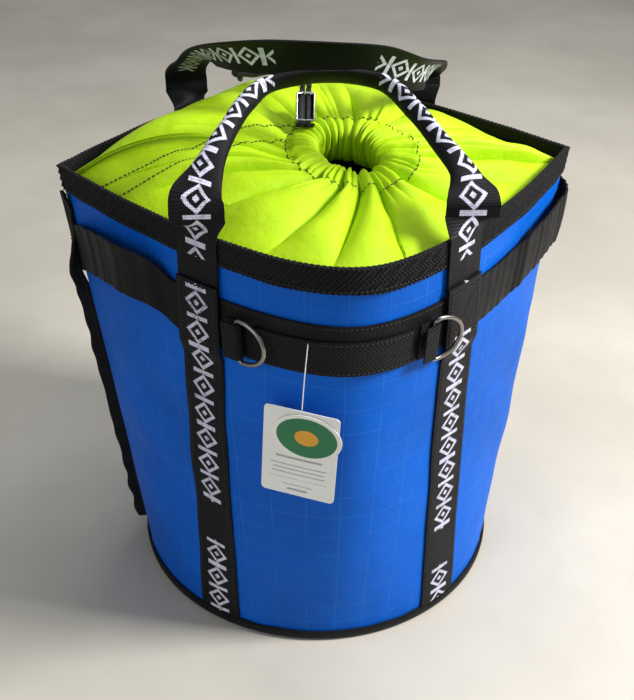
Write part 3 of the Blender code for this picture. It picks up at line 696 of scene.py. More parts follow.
def lock_frame():
    across = Vector((1, 0, 0))
    across = (across - LOCK_AXIS * across.dot(LOCK_AXIS)).normalized()
    return across, LOCK_AXIS, LOCK_AXIS.cross(across)


def tail_routes():
    """The middle lines of the drawcord's two free ends, as the CAD has them."""
    across, along, _ = lock_frame()
    beside = Vector((0.75, 0.65, 0)).normalized()
    straight = (-0.0042, 0.0, LOCK_LENGTH / 2, LOCK_LENGTH, LOCK_LENGTH + 0.004, LOCK_LENGTH + 0.0075)
    routes = {}
    for name, shift in (("left", -1), ("right", 1)):
        half_pitch = shift * (CORD / 2 + GAP)
        route = [LOCK_BASE + along * reach + across * half_pitch for reach in straight]
        for i, place in enumerate(CORD_ROUTE):
            turned_side = across.lerp(beside, min((i + 1) / 3, 1.0)).normalized()
            route.append(Vector(place) + turned_side * half_pitch)
        routes[name] = route
    return routes


def make_cords(black):
    end = np.array(CORD_ROUTE[-1])
    down = unit(end - np.array(CORD_ROUTE[-2]))
    side = unit(np.cross(down, (0, 0, 1)))
    up = np.cross(side, down)
    t = np.linspace(0, 2 * math.pi, 90, endpoint=False)
    size = 0.0017
    turns = np.outer(np.sin(t) + 2 * np.sin(2 * t), side) + np.outer(np.cos(t) - 2 * np.cos(2 * t), up)
    turns = turns * size + np.outer(-np.sin(3 * t) * 1.9 * size, down) + end + down * 0.0072
    knot = add_tube("drawcord_end_knot", turns, CORD / 2 * 0.92, black, sides=12, closed=True, braid=0.05)
    install(knot, "drawcord_knot")
    for name, route in tail_routes().items():
        line = spline(route, 260)
        piece = add_tube(f"drawcord_free_end_{name}", line, CORD / 2, black, sides=16, braid=0.07)
        install(piece, f"drawcord_tail_{name}")


def copy_of_node(node, name, material, bevel):
    """A CAD node's own shape with its edges rounded."""
    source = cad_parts[node]
    piece = bpy.data.objects.new(name, source.data.copy())
    bpy.context.scene.collection.objects.link(piece)
    piece.data.materials.clear()
    piece.data.materials.append(material)
    bm = bmesh.new()
    bm.from_mesh(piece.data)
    bmesh.ops.remove_doubles(bm, verts=bm.verts, dist=1e-6)
    bmesh.ops.dissolve_limit(bm, angle_limit=math.radians(1), verts=bm.verts, edges=bm.edges)
    bm.to_mesh(piece.data)
    bm.free()
    modifier = piece.modifiers.new("round", "BEVEL")
    modifier.width = bevel
    modifier.segments = 3
    modifier.limit_method = "ANGLE"
    modifier.angle_limit = math.radians(40)
    modifier.harden_normals = False
    piece.data.shade_smooth()
    return piece


def make_lock(chrome, steel, plastic):
    shell = copy_of_node("cord_lock_body", "cord_lock_shell", chrome, 0.0007)
    install(shell, "cord_lock_body", "cord_lock")
    jaw = copy_of_node("cord_lock_jaw", "cord_lock_button", plastic, 0.0004)
    install(jaw, "cord_lock_jaw", "lock_jaw")
    make_spring(steel)


def make_spring(steel):
    """The coil that pushes the jaw onto the cords."""
    across, along, back = lock_frame()
    middle = LOCK_BASE - back * JAW_FRONT + along * LOCK_LENGTH / 2
    low, high = SPRING_SPAN
    turn = np.linspace(0, 2 * math.pi * SPRING_TURNS, 240)
    rise = np.linspace(low + SPRING_WIRE, high - SPRING_WIRE, 240)
    coil = np.outer(np.cos(turn), across) + np.outer(np.sin(turn), along)
    line = np.array(middle) + coil * SPRING_RADIUS + np.outer(rise, back)
    spring = add_tube("lock_spring_coil", line, SPRING_WIRE, steel, sides=8)
    install(spring, "cord_lock_spring", "cord_lock")
    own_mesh(spring)


def paint(node, material):
    """Gives a CAD node that stays in view its full material."""
    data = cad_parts[node].data
    data.materials.clear()
    data.materials.append(material)


# ---------------------------------------------------------------- body


def make_body(blue):
    rounds, rises = 720, 150
    turn = np.linspace(0, 2 * math.pi, rounds, endpoint=False)
    height = BASE_TOP + (HEIGHT - BASE_TOP) * np.linspace(0, 1, rises)
    turns, heights = np.meshgrid(turn, height, indexing="ij")
    along = np.linspace(0, 2 * math.pi, rounds + 1) * 0.19
    outer = cloth_wall(turns, heights)
    inner = cloth_wall(turns, heights, -CLOTH)
    points = np.concatenate([outer, inner[:, ::-1]], axis=1)
    across = np.concatenate([height, height[::-1], height[:1]])
    uv = np.stack(np.broadcast_arrays(along[:, None], across[None]), axis=-1)
    body = add_grid("bag_wall_cloth", points, uv, blue, wrap_rows=True, wrap_columns=True, outward=False)
    install(body, "body_panel")


def make_base(blue):
    """The round base panel, domed up a little inside its binding."""
    rings, rounds = 24, 180
    radius = np.linspace(1, 0.004, rings)[:, None]
    angle = np.linspace(0, 2 * math.pi, rounds, endpoint=False)[None]
    edge = BASE_RADIUS - GAP
    sag = 0.0009 * (1 - radius**2) + 0 * angle
    low = np.stack([radius * edge * np.cos(angle), radius * edge * np.sin(angle), sag], -1)
    high = np.stack([radius * edge * np.cos(angle), radius * edge * np.sin(angle), sag * 1.5 + 0.003], -1)
    points = np.concatenate([low[::-1], high], axis=0)
    uv_rows = np.concatenate([low[::-1], high], axis=0)[..., :2]
    uv = np.concatenate([uv_rows, uv_rows[:, :1]], axis=1)
    base = add_grid("base_cloth", points, uv, blue, wrap_columns=True)
    close_normals(base, ends=True)
    install(base, "base_panel")


def make_base_binding(tape):
    """Narrow tape round the base seam, a little wavy."""
    rounds = 540
    turn = np.linspace(0, 2 * math.pi, rounds, endpoint=False)
    section = [(0.0012, 0.0004), (0.0010, 0.0016), (0.0022, 0.0028), (0.0055, 0.0031), (0.0088, 0.0028)]
    section += [(0.0100, 0.0016), (0.0096, 0.0004)]
    wavy = waves(turn * 14, 31, low=1, high=3) * 0.0005
    rows = []
    for z, out in section:
        height = np.full(rounds, z) + wavy * ease(z, 0.002, 0.009)
        rows.append(wall(turn, height, relief(turn, np.maximum(height, 0.0034)) + out))
    points = np.stack(rows, axis=1)
    lengths = np.linspace(0, 0.0145, len(section) + 1)
    uv = np.stack(np.broadcast_arrays(np.linspace(0, 1.06, rounds + 1)[:, None], lengths[None]), -1)
    piece = add_grid("base_seam_tape", points, uv, tape, wrap_rows=True, wrap_columns=True)
    install(piece, "base_binding")


def make_side_seam(tape, thread):
    """The upright tape at the left corner, folded round both raw edges. Its top lies over the front wall."""
    rows = 220
    height = np.linspace(SEAM_LOW, HEIGHT - BINDING_HEIGHT - 0.0015, rows)
    over_band = ease(height, BAND_LOW - 0.022, BAND_LOW - 0.004)
    corner = wall(np.full(rows, math.pi), height, GAP) + (0.0006, 0, 0)
    corner = corner - over_band[:, None] * (0.0036, 0, 0)
    lean = math.radians(118) * ease(height, 0.255, 0.350)
    ripple = waves(height * 90, 43) * 0.10 * ease(height, 0.02, 0.06)
    angle = lean + ripple
    outward = np.stack([-np.cos(angle), -np.sin(angle), 0 * angle], -1)
    facing = np.stack([-outward[:, 1], outward[:, 0], 0 * angle], -1)
    width = SEAM_WIDTH * (0.80 + 0.07 * waves(height * 60, 41))
    half = SEAM_THICKNESS / 2
    section = ((0.03, -1), (0.35, -0.90), (0.85, -1), (0.97, -0.75), (1, 0))
    section += ((0.97, 0.75), (0.85, 1), (0.35, 0.90), (0.03, 1))
    sections = [corner + outward * (width * share)[:, None] + facing * half * side for share, side in section]
    points = np.stack(sections, axis=1)
    across = np.array([0, 0.35, 0.85, 0.97, 1, 1.03, 1.15, 1.65, 2, 2.1]) * SEAM_WIDTH
    uv = np.stack(np.broadcast_arrays(height[:, None], across[None]), -1)
    piece = add_grid("side_seam_tape", points, uv, tape, wrap_columns=True)
    close_normals(piece, ends=True)
    install(piece, "side_seam_binding")
    lines = []
    for side in (-1, 1):
        line = corner + outward * (width * 0.30)[:, None] + facing * half * side * 0.95
        lines.append((line, facing * side))
    install(add_stitches("side_seam_thread", lines, thread))


def rim_section(turn):
    """The folded tape's (out, height) corners from outer hem over the rim to inner hem, and its waves."""
    low, top = HEIGHT - BINDING_HEIGHT, HEIGHT + GAP
    inner = -CLOTH - GAP
    wavy = around(turn, 51, 9, 36) * 0.0008
    outer = [(GAP + TAPE, mix(low, top - 0.0008, share)) for share in np.linspace(0, 1, 18)]
    middle, crest = mix(inner, GAP, 0.5), top - 0.0004
    reach = (GAP - inner) / 2 + TAPE
    angles = np.linspace(0.15, math.pi - 0.15, 9)
    fold = [(middle + reach * math.cos(a), crest + 0.0012 * math.sin(a)) for a in angles]
    inside = [(inner - TAPE, mix(top - 0.0008, low, share)) for share in np.linspace(0, 1, 10)]
    back = [(inner, low), (inner, top - 0.0006), (GAP, top - 0.0006)]
    return [(GAP, low), *outer, *fold, *inside, *back], wavy


def make_rim(tape, thread):
    """Tape over the rim, its slanting ribs raised like the lay of a rope."""
    rounds = 2400
    turn = np.linspace(0, 2 * math.pi, rounds, endpoint=False)
    corners, wavy = rim_section(turn)
    reach = np.append(lengths_along(wall(turn, np.full(rounds, HEIGHT))), 0)
    reach[-1] = reach[-2] + np.linalg.norm(wall(0.0, HEIGHT) - wall(turn[-1], HEIGHT))
    ribs_round = round(reach[-1] / RIM_RIB)
    across = np.concatenate([[0], np.cumsum(np.hypot(*np.diff(np.array(corners), axis=0).T))])
    rows = []
    for index, (out, height) in enumerate(corners):
        ribbed_part = 0 < index < len(corners) - 3
        slant = abs(across[index] - across[19] - 0.001) * 0.8 / RIM_RIB
        ridge = np.sin(2 * math.pi * (ribs_round * reach[:-1] / reach[-1] + slant))
        lift = 0.00042 * (ridge + 0.35 * ridge * np.abs(ridge)) if ribbed_part else 0.0
        towards = 1.0 if out >= -CLOTH / 2 else -1.0
        place = wall(turn, np.full(rounds, min(height, HEIGHT)), out + lift * towards)
        place[:, 2] = height + (wavy if height < HEIGHT - 0.01 else wavy * 0.3)
        rows.append(place)
    points = np.stack(rows, axis=1)
    uv = np.stack(np.broadcast_arrays(reach[:, None], np.append(across, across[-1] + 0.0006)[None]), -1)
    piece = add_grid("rim_tape", points, uv, tape, wrap_rows=True, wrap_columns=True)
    close_normals(piece)
    install(piece, "rim_binding")
    loop = np.linspace(0, 2 * math.pi, 900)
    line = wall(loop, np.full(900, HEIGHT - BINDING_HEIGHT + 0.0028), np.full(900, GAP + TAPE * 1.25))
    normal = unit(line * np.array([1, 1, 0]))
    install(add_stitches("rim_thread", [(line, normal)], thread))


# ---------------------------------------------------------------- webbing on the wall


def strap_under(height):
    return mix(LAYER_ONE, LAYER_THREE, ease(height, BAND_LOW - 0.018, BAND_LOW - 0.003))


def strap_grid(strap, rows, columns, low, high, width):
    height = np.linspace(low, high, rows)
    k = np.linspace(-1, 1, columns)
    middle = strap_turn(strap, height)
    half = width / 2 / turn_width(middle, height)
    turns = middle[:, None] + half[:, None] * k[None]
    return turns, np.repeat(height[:, None], columns, axis=1), (k + 1) / 2 * width


def make_straps(webbing, thread):
    lines = []
    for strap, (_, _, side) in STRAPS.items():
        turns, heights, across = strap_grid(strap, 240, 21, STRAP_FOOT, STRAP_TOP, STRAP_WIDTH)
        if side > 0:
            across = across[::-1]
        under = strap_under(heights)
        rise = heights[:, 0] + (0.012 if strap.endswith("left") else 0.055)
        edge = 0.0002 * (1 - np.abs(np.linspace(-1, 1, 21)) ** 8)
        outer, inner = cloth_wall(turns, heights, under + WEBBING + edge), cloth_wall(turns, heights, under)
        piece = add_slab(f"webbing_strap_{strap}", outer, inner, webbing, rise, across)
        install(piece, f"strap_{strap}")
        lines += strap_stitching(strap)
    install(add_stitches("strap_thread", lines, thread))


def strap_stitching(strap):
    """Edge rows up the strap and a crossed box at its top."""
    lines = []
    inset = 0.0032

    def at(height, k):
        height = np.asarray(height, float)
        middle = strap_turn(strap, height)
        turn = middle + k * (STRAP_WIDTH / 2 - inset) / turn_width(middle, height)
        return wall_line(turn, height, strap_under(height) + WEBBING + 0.00015)

    full = np.linspace(STRAP_FOOT + 0.004, STRAP_TOP - inset, 160)
    for k in (-1, 1):
        lines.append(at(full, k))
    low, high = BAND_LOW + 0.003, STRAP_TOP - inset
    span = np.linspace(-1, 1, 24)
    for height in (low, high, high - 0.004):
        lines.append(at(np.full(24, height), span))
    for sense in (-1, 1):
        lines.append(at(np.linspace(low, high - 0.004, 24), span * sense))
    return lines


def make_bands(webbing, tape, thread):
    lines = []
    for place, left, right in (("front", "front_left", "front_right"), ("rear", "rear_right", "rear_left")):
        start, end = strap_turn(left, BAND_MIDDLE) - 0.06, strap_turn(right, BAND_MIDDLE) + 0.06
        turn = np.linspace(start, end, 200)
        heights = np.linspace(BAND_LOW, BAND_HIGH, 13)
        turns, heights = np.meshgrid(turn, heights, indexing="ij")
        along = lengths_along(wall(turn, np.full(200, BAND_MIDDLE)))
        piece = wall_slab(f"{place}_band_webbing", turns, heights, LAYER_ONE, LAYER_ONE + WEBBING,
                          webbing, along, heights[0] - BAND_LOW)
        install(piece, f"{place}_band")
        inner = np.linspace(start + 0.12, end - 0.12, 200)
        for height in (BAND_LOW + 0.0022, BAND_HIGH - 0.0022):
            lines.append(wall_line(inner, np.full(200, height), LAYER_ONE + WEBBING))
    half_width = mix(BASE_RADIUS, RIM_HALF_WIDTH, RING_Z / HEIGHT)
    turn = -np.arccos(np.linspace(-0.066, 0.043, 160) / half_width)
    height = RING_Z + np.linspace(-0.0145, 0.0145, 11)
    turns, heights = np.meshgrid(turn, height, indexing="ij")
    along = lengths_along(wall(turn, np.full(160, RING_Z)))
    piece = wall_slab("band_cover_tape", turns, heights, LAYER_TWO, LAYER_TWO + TAPE, tape, along,
                      heights[0] - heights[0, 0])
    install(piece, "band_overlay_tape")
    for offset in (-0.0125, 0.0125):
        lines.append(wall_line(turn, np.full(160, RING_Z + offset), LAYER_TWO + TAPE))
    install(add_stitches("band_thread", lines, thread))


def loop_grid(profile, side, count, wrinkle_seed, joined_end):
    """Webbing that stands off the wall. profile rows are (turn, mm out, height of its middle)."""
    route = []
    for turn, out, z in profile:
        spot = wall(turn, z, out / 1000)
        route.append((spot[0], spot[1] * side, z))
    line = spline(route, count)
    along = unit(np.gradient(line, axis=0))
    face = unit(np.cross(along, (0, 0, 1.0))) * side
    k = np.linspace(-1, 1, 13)
    reach = lengths_along(line)
    free = np.sin(np.pi * np.linspace(0, 1, count)) ** 0.5
    near_seam = np.exp(-(reach[-1] - reach) / 0.035) if joined_end else 0.25
    phase = reach * 2 * math.pi / WRINKLE_PITCH + waves(reach * 60, wrinkle_seed) * 1.5
    pull = np.sin(phase) * 0.0016 * near_seam * free
    pull = pull + waves(reach * 80, wrinkle_seed + 20) * 0.0008 * free
    curve = 0.0010 * (k**2)[None] * free[:, None]
    slope = (outline(-1.5, BAND_HIGH) - outline(-1.5, BAND_LOW))[1] / (BAND_HIGH - BAND_LOW)
    lean = unit(wall(np.array([row[0] for row in profile]), BAND_HIGH) * (1, 1, 0)).mean(axis=0) * abs(slope)
    upright = np.array([lean[0], lean[1] * side, 1.0]) / math.hypot(1, slope)
    middle = line[:, None] + upright * (k * (BAND_HIGH - BAND_LOW) / 2)[None, :, None]
    middle = middle + face[:, None] * (pull[:, None] - curve)[..., None]
    outer = middle + face[:, None] * WEBBING / 2
    inner = middle - face[:, None] * WEBBING / 2
    return outer, inner, reach, (k + 1) / 2 * (BAND_HIGH - BAND_LOW)


def make_gear_loops(webbing):
    """The band's ends past the straps, standing off as loops. They start beneath the straps' edges."""
    front_left = strap_turn("front_left", BAND_MIDDLE)
    front_right = strap_turn("front_right", BAND_MIDDLE)
    rear_right = strap_turn("rear_right", BAND_MIDDLE)
    left_span = -math.pi - front_left
    left = [(front_left - 0.062, 1.05, 0.3180), (front_left - 0.105, 1.3, 0.3200)]
    left += [(front_left + left_span * share, out, z) for share, out, z in LEFT_LOOP]
    right = [(front_right + 0.062, 1.05, 0.3195), (front_right + 0.11, 1.3, 0.3200)]
    right += [(mix(front_right, rear_right, share), out, z) for share, out, z in RIGHT_LOOP]
    right += [(rear_right - 0.11, 1.3, 0.3200), (rear_right - 0.062, 1.05, 0.3195)]
    loops = (
        ("left_front_gear_loop", left, 1, 220, 61, True),
        ("left_rear_gear_loop", left, -1, 220, 62, True),
        ("right_gear_loop", right, 1, 420, 63, False),
    )
    for node, profile, side, count, seed, joined_end in loops:
        outer, inner, along, across = loop_grid(profile, side, count, seed, joined_end)
        piece = add_slab(f"{node}_webbing", outer, inner, webbing, along, across)
        install(piece, node)


# ---------------------------------------------------------------- handles

HANDLE_TOPS = {
    "front_left": np.array((-0.1035, -0.1470, FOLD_Z)),
    "front_right": np.array((0.0880, -0.1560, FOLD_Z)),
    "rear_left": np.array((-0.1075, 0.1450, FOLD_Z)),
    "rear_right": np.array((0.1130, 0.1420, FOLD_Z)),
}
LEFT, RIGHT = (1, 0, 0), (-1, 0, 0)
# Each row: x, y, z, the direction of the webbing's width, the width and the depth that it is curled to.
FRONT_HANDLE = (
    (-0.1025, -0.1420, 0.4190, *LEFT, 0.036, 0.002),
    (-0.0920, -0.1230, 0.4340, *LEFT, 0.020, 0.007),
    (-0.0790, -0.1000, 0.4470, 0.8, 0, -0.6, 0.014, 0.009),
    (-0.0630, -0.0710, 0.4580, 0.6, 0, -0.8, 0.014, 0.009),
    (-0.0430, -0.0500, 0.4640, 0.3, 0.6, -0.7, 0.016, 0.007),
    (0.0000, -0.0430, 0.4655, 0, 0.82, -0.57, 0.026, 0.004),
    (0.0400, -0.0500, 0.4625, -0.3, 0.6, -0.7, 0.016, 0.007),
    (0.0590, -0.0800, 0.4510, -0.6, 0, -0.8, 0.014, 0.009),
    (0.0720, -0.1100, 0.4380, -0.8, 0, -0.6, 0.014, 0.009),
    (0.0840, -0.1350, 0.4260, *RIGHT, 0.020, 0.007),
    (0.0875, -0.1500, 0.4160, *RIGHT, 0.036, 0.002),
)
REAR_HANDLE = (
    (-0.1075, 0.1390, 0.4180, *LEFT, 0.038, 0.002),
    (-0.1045, 0.1230, 0.4290, *LEFT, 0.034, 0.002),
    (-0.0990, 0.0980, 0.4410, *LEFT, 0.032, 0.003),
    (-0.0900, 0.0560, 0.4560, 0.8, 0.1, -0.6, 0.028, 0.004),
    (-0.0700, 0.0180, 0.4660, 0.4, 0.3, -0.85, 0.030, 0.004),
    (-0.0350, -0.0050, 0.4710, 0, 0.35, -0.94, 0.032, 0.003),
    (0.0050, -0.0100, 0.4700, 0, 0.35, -0.94, 0.032, 0.003),
    (0.0450, -0.0070, 0.4650, -0.1, 0.3, -0.94, 0.032, 0.003),
    (0.0780, 0.0120, 0.4500, -0.4, 0.1, -0.9, 0.030, 0.004),
    (0.1010, 0.0500, 0.4380, -0.6, -0.3, -0.75, 0.028, 0.004),
    (0.1120, 0.0950, 0.4290, -0.9, -0.3, -0.3, 0.030, 0.003),
    (0.1150, 0.1220, 0.4210, *RIGHT, 0.034, 0.002),
    (0.1145, 0.1360, 0.4140, *RIGHT, 0.037, 0.002),
)
HANDLE_COLUMNS = 25


def curled(width, depth, k):
    """The middle line of webbing curled into an arc, as offsets along its width and out from it."""
    curl = np.interp(width, (0.014, 0.020, 0.028, 0.036), (5.4, 4.2, 2.2, 0.3))
    angle = k * curl / 2
    x, y = np.sin(angle), np.cos(angle)
    x = x / np.abs(x).max()
    y = (y - y.min()) / (y.max() - y.min()) - 0.5
    return x * (width - WEBBING * 0.5) / 2, y * max(depth - WEBBING, 0.0002)


def handle_sections(rows, outward):
    """Outer and inner points of each section of a handle above its folds."""
    k = np.linspace(-1, 1, HANDLE_COLUMNS)
    _, side, face = frames_along(rows[:, :3], rows[:, 3:6])
    outer, inner = [], []
    for centre, s, f, width, depth in zip(rows[:, :3], side, face * outward, rows[:, 6], rows[:, 7]):
        x, y = curled(width, depth, k)
        line = np.stack([x, y], 1)
        tangent = unit(np.gradient(line, axis=0))
        normal = np.stack([-tangent[:, 1], tangent[:, 0]], 1)
        for found, shift in ((outer, WEBBING / 2), (inner, -WEBBING / 2)):
            flat = line + normal * shift
            found.append(centre + np.outer(flat[:, 0], s) + np.outer(flat[:, 1], f))
    return np.array(outer), np.array(inner)


def tail_sections(strap, along_fold, sense):
    """Outer and inner points of a handle's sewn tail, from its end under the strap to the fold."""
    side = STRAPS[strap][2]
    top = HANDLE_TOPS[strap]
    k = np.linspace(-1, 1, HANDLE_COLUMNS)
    height = np.concatenate([np.linspace(TAIL_LOW, CLEAR_Z, 60), np.linspace(CLEAR_Z, FOLD_Z, 12)[1:]])
    middle = strap_turn(strap, height)
    half = HANDLE_WIDTH / 2 / turn_width(middle, height)
    turns = middle[:, None] + half[:, None] * k[None] * sense
    heights = np.repeat(height[:, None], HANDLE_COLUMNS, axis=1)
    straight = ease(height, CLEAR_Z, FOLD_Z)[:, None, None]
    flat = top + np.outer(k, along_fold) * HANDLE_WIDTH / 2
    found = []
    for out in (WEBBING, 0.0):
        on_wall = cloth_wall(turns, heights, LAYER_TWO + out)
        on_fold = flat[None] + np.array((0, side * (out - WEBBING / 2), 0))
        on_fold = on_fold + np.stack([0 * height, 0 * height, height - FOLD_Z], -1)[:, None]
        found.append(mix(on_wall, on_fold, straight))
    return found


def make_handle(place, route, outward, webbing):
    left, right = HANDLE_TOPS[f"{place}_left"], HANDLE_TOPS[f"{place}_right"]
    fold = unit(right - left)
    rises = (FOLD_GAP, 0.0045, 0.009)
    first = [(*(left + (0, 0, rise)), *fold, HANDLE_WIDTH, WEBBING) for rise in rises]
    last = [(*(right + (0, 0, rise)), *-fold, HANDLE_WIDTH, WEBBING) for rise in rises[::-1]]
    rows = spline([*first, *route, *last], 260)
    outer, inner = handle_sections(rows, outward)
    sense = 1 if place == "front" else -1
    left_outer, left_inner = tail_sections(f"{place}_left", fold, sense)
    right_outer, right_inner = tail_sections(f"{place}_right", -fold, -sense)
    outer = np.concatenate([left_outer, outer, right_outer[::-1]])
    inner = np.concatenate([left_inner, inner, right_inner[::-1]])
    along = lengths_along((outer[:, HANDLE_COLUMNS // 2] + inner[:, HANDLE_COLUMNS // 2]) / 2)
    # The pattern's plain part falls on the middle of the grip.
    along = along - along[-1] / 2 + MOTIF_RUN / 2
    # Where the webbing is rolled up, its pattern turns away to one side.
    rolled = 1 - ease(rows[:, 6], 0.016, 0.034)
    ends = (len(left_outer), len(right_outer))
    rolled = np.concatenate([np.zeros(ends[0]), rolled, np.zeros(ends[1])])
    across = np.linspace(0, STRAP_WIDTH, HANDLE_COLUMNS)[None] + rolled[:, None] * ROLL_SHIFT
    piece = add_slab(f"{place}_handle_webbing", outer, inner, webbing, along, across)
    nodes = [f"{place}_handle", f"handle_tail_{place}_left", f"handle_tail_{place}_right"]
    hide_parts(*nodes)
    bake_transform(piece)


# ---------------------------------------------------------------- collar

# The hem from the channel's stitches over the mouth's edge and down inside it, as (out from the edge, lift).
COLLAR_HEM = ((0.024, 0.0), (0.014, 0.0040), (0.006, 0.0045), (0.0, 0.0010), (-0.0005, -0.0060),
              (0.001, -0.014), (0.005, -0.022), (0.011, -0.027))
STITCH_ROW = 5.0


def mouth_point(turn, out, lift):
    length, width = MOUTH_HALF_LENGTH + out, MOUTH_HALF_WIDTH + out
    angle = turn - MOUTH_HEADING
    reach = length * width / np.hypot(width * np.cos(angle), length * np.sin(angle))
    x, y = reach * np.cos(turn), reach * np.sin(turn)
    return np.stack([MOUTH_CENTRE[0] + x, MOUTH_CENTRE[1] + y, MOUTH_CENTRE[2] + MOUTH_SLOPE * y + lift], -1)


def collar_bulge(turn):
    left_rear = np.cos(turn - math.radians(130))
    return 0.012 + 0.022 * np.maximum(left_rear, 0) - 0.012 * np.maximum(-left_rear, 0)


def collar_base(turn, count):
    """The collar before its pleats: rows from the rim to the end of the hem, for each turn."""
    start = wall(turn, np.full(turn.shape, HEIGHT - 0.012), -COLLAR_INSET)
    goal = mouth_point(turn, *COLLAR_HEM[0])
    controls = []
    for i in range(5):
        share = i / 5
        place = mix(start, goal, share)
        place[:, 2] += collar_bulge(turn) * 4 * share * (1 - share)
        controls.append(place)
    controls += [mouth_point(turn, out, lift) for out, lift in COLLAR_HEM]
    controls = np.stack(controls, axis=1)
    padded = np.concatenate([controls[:, :1], controls, controls[:, -1:]], axis=1)
    spans = controls.shape[1] - 1
    # Most rows go to the open cloth, where the spans are long.
    even = np.linspace(0, 1, count)
    position = np.interp(even, (0, 0.60, 1), (0, 5, spans))
    i = np.minimum(position.astype(int), spans - 1)
    t = (position - i)[None, :, None]
    a, b, c, d = (padded[:, i + n] for n in range(4))
    cubic = (3 * b - a - 3 * c + d) * t**3
    rows = 0.5 * (2 * b + (c - a) * t + (2 * a - 5 * b + 4 * c - d) * t**2 + cubic)
    return rows, position


def pleats(turn, count, seed, sharp):
    """Rounded ridges from 0 to 1 between uneven sharp valleys, and each ridge's own random numbers."""
    random = np.random.default_rng(seed)
    widths = random.uniform(0.60, 1.40, count)
    edges = np.concatenate([[0], np.cumsum(widths)]) / widths.sum() * 2 * math.pi
    turn = turn % (2 * math.pi)
    index = np.clip(np.searchsorted(edges, turn, side="right") - 1, 0, count - 1)
    local = np.clip((turn - edges[index]) / (edges[index + 1] - edges[index]), 0, 1)
    return np.sin(np.pi * local) ** sharp, random.uniform(0, 1, (count, 3))[index]


def collar_surface(rounds, count):
    """The gathered cloth's outer face."""
    turn = np.linspace(0, 2 * math.pi, rounds, endpoint=False)
    rows, position = collar_base(turn, count)
    normal = unit(np.cross(np.gradient(rows, axis=0), np.gradient(rows, axis=1)))
    towards_mouth = np.clip(position / STITCH_ROW, 0, 1)[None]
    swirl = 0.10 * np.sin(3 * turn + 0.6)[:, None] * (1 - towards_mouth)
    turns = turn[:, None] + swirl
    deep, own = pleats(turns, 20, 73, 0.60)
    start = mix(-0.10, 0.22, own[..., 1])
    rise = ease(towards_mouth - start, 0.0, 0.45) * (1 - 0.70 * ease(position, 5.0, 6.5)[None])
    smooth_side = ease(np.cos(turn - math.radians(140)), 0.10, 0.75)[:, None]
    depth = mix(0.0100, 0.0165, own[..., 0]) * (1 - 0.85 * smooth_side)
    lift = depth * (deep - 0.45) * rise
    fine, own = pleats(turns + 0.02 * waves(np.sin(turn) * 6, 71)[:, None], 44, 72, 0.8)
    reach = mix(0.45, 0.85, own[..., 1])
    inside = 1 - 0.6 * ease(position, 8.0, 10.0)[None]
    lift = lift + mix(0.0020, 0.0046, own[..., 0]) * fine * ease(towards_mouth, reach, 1.0) * inside
    soft = around(turn, 74, 2, 9)[:, None] * waves(position * 1.3, 75)[None] * np.sin(np.pi * towards_mouth)
    sag = 0.0030 * around(turn, 76, 3, 8)[:, None] * np.sin(np.pi * towards_mouth) * smooth_side
    return rows + normal * (lift + 0.0016 * soft + sag)[..., None], normal, position


def make_collar(lime, thread):
    rounds, count = 1440, 160
    surface, normal, position = collar_surface(rounds, count)
    inner = surface - normal * CLOTH * 0.8
    along = lengths_along(surface[:, 20])
    along = np.append(along, along[-1] + np.linalg.norm(surface[0, 20] - surface[-1, 20]))
    across = lengths_along(surface[90])
    points = np.concatenate([surface, inner[:, ::-1]], axis=1)
    both = np.concatenate([across, across[::-1], across[:1]])
    uv = np.stack(np.broadcast_arrays(along[:, None], both[None]), -1)
    collar = add_grid("gathered_collar", points, uv, lime, wrap_rows=True, wrap_columns=True)
    close_normals(collar)
    install(collar, "collar")
    lines = collar_stitching(surface, normal, position)
    stitches = add_stitches("collar_thread", lines, thread, pitch=0.0042, share=0.66, radius=THREAD * 1.3)
    install(stitches)


def on_collar(surface, normal, position, turn, where):
    """Points on the pleated cloth at these turns and row positions."""
    rounds = len(surface)
    i = (np.round(turn / (2 * math.pi) * rounds).astype(int)) % rounds
    j = np.searchsorted(position, where).clip(0, len(position) - 1)
    return surface[i, j] + normal[i, j] * 0.0003, normal[i, j]


def collar_stitching(surface, normal, position):
    """The channel's row round the mouth and the two rows of the joining seam at the left."""
    loop = np.linspace(0, 2 * math.pi, len(surface))
    lines = [on_collar(surface, normal, position, loop, np.full(len(loop), STITCH_ROW))]
    share = np.linspace(0.04, 0.98, 220)
    for start, end in ((206, 122), (214, 152)):
        turn = np.radians(mix(start, end, share**3))
        lines.append(on_collar(surface, normal, position, turn, share * STITCH_ROW))
    return lines


# ---------------------------------------------------------------- rings, tabs and tag


def ring_line(bar, towards, upright, count=160):
    along = unit(towards - upright * np.dot(towards, upright))
    half = (RING_HEIGHT - RING_WIRE) / 2
    reach = RING_REACH - RING_WIRE
    corner = 0.004
    flat = [(0, -half + corner), (0, -half / 2), (0, 0), (0, half / 2), (0, half - corner)]
    flat += [(corner * (1 - math.cos(a)), half - corner + corner * math.sin(a)) for a in (0.5, 1.05, 1.57)]
    for i in range(1, 14):
        angle = math.pi / 2 - math.pi * i / 14
        flat.append((corner + (reach - corner) * math.cos(angle), half * math.sin(angle)))
    flat += [(corner * (1 - math.cos(a)), -half + corner - corner * math.sin(a)) for a in (1.57, 1.05, 0.5)]
    flat.append(flat[0])
    points = spline([(*(bar + along * x + upright * z),) for x, z in flat], count + 1)
    return points[:-1]


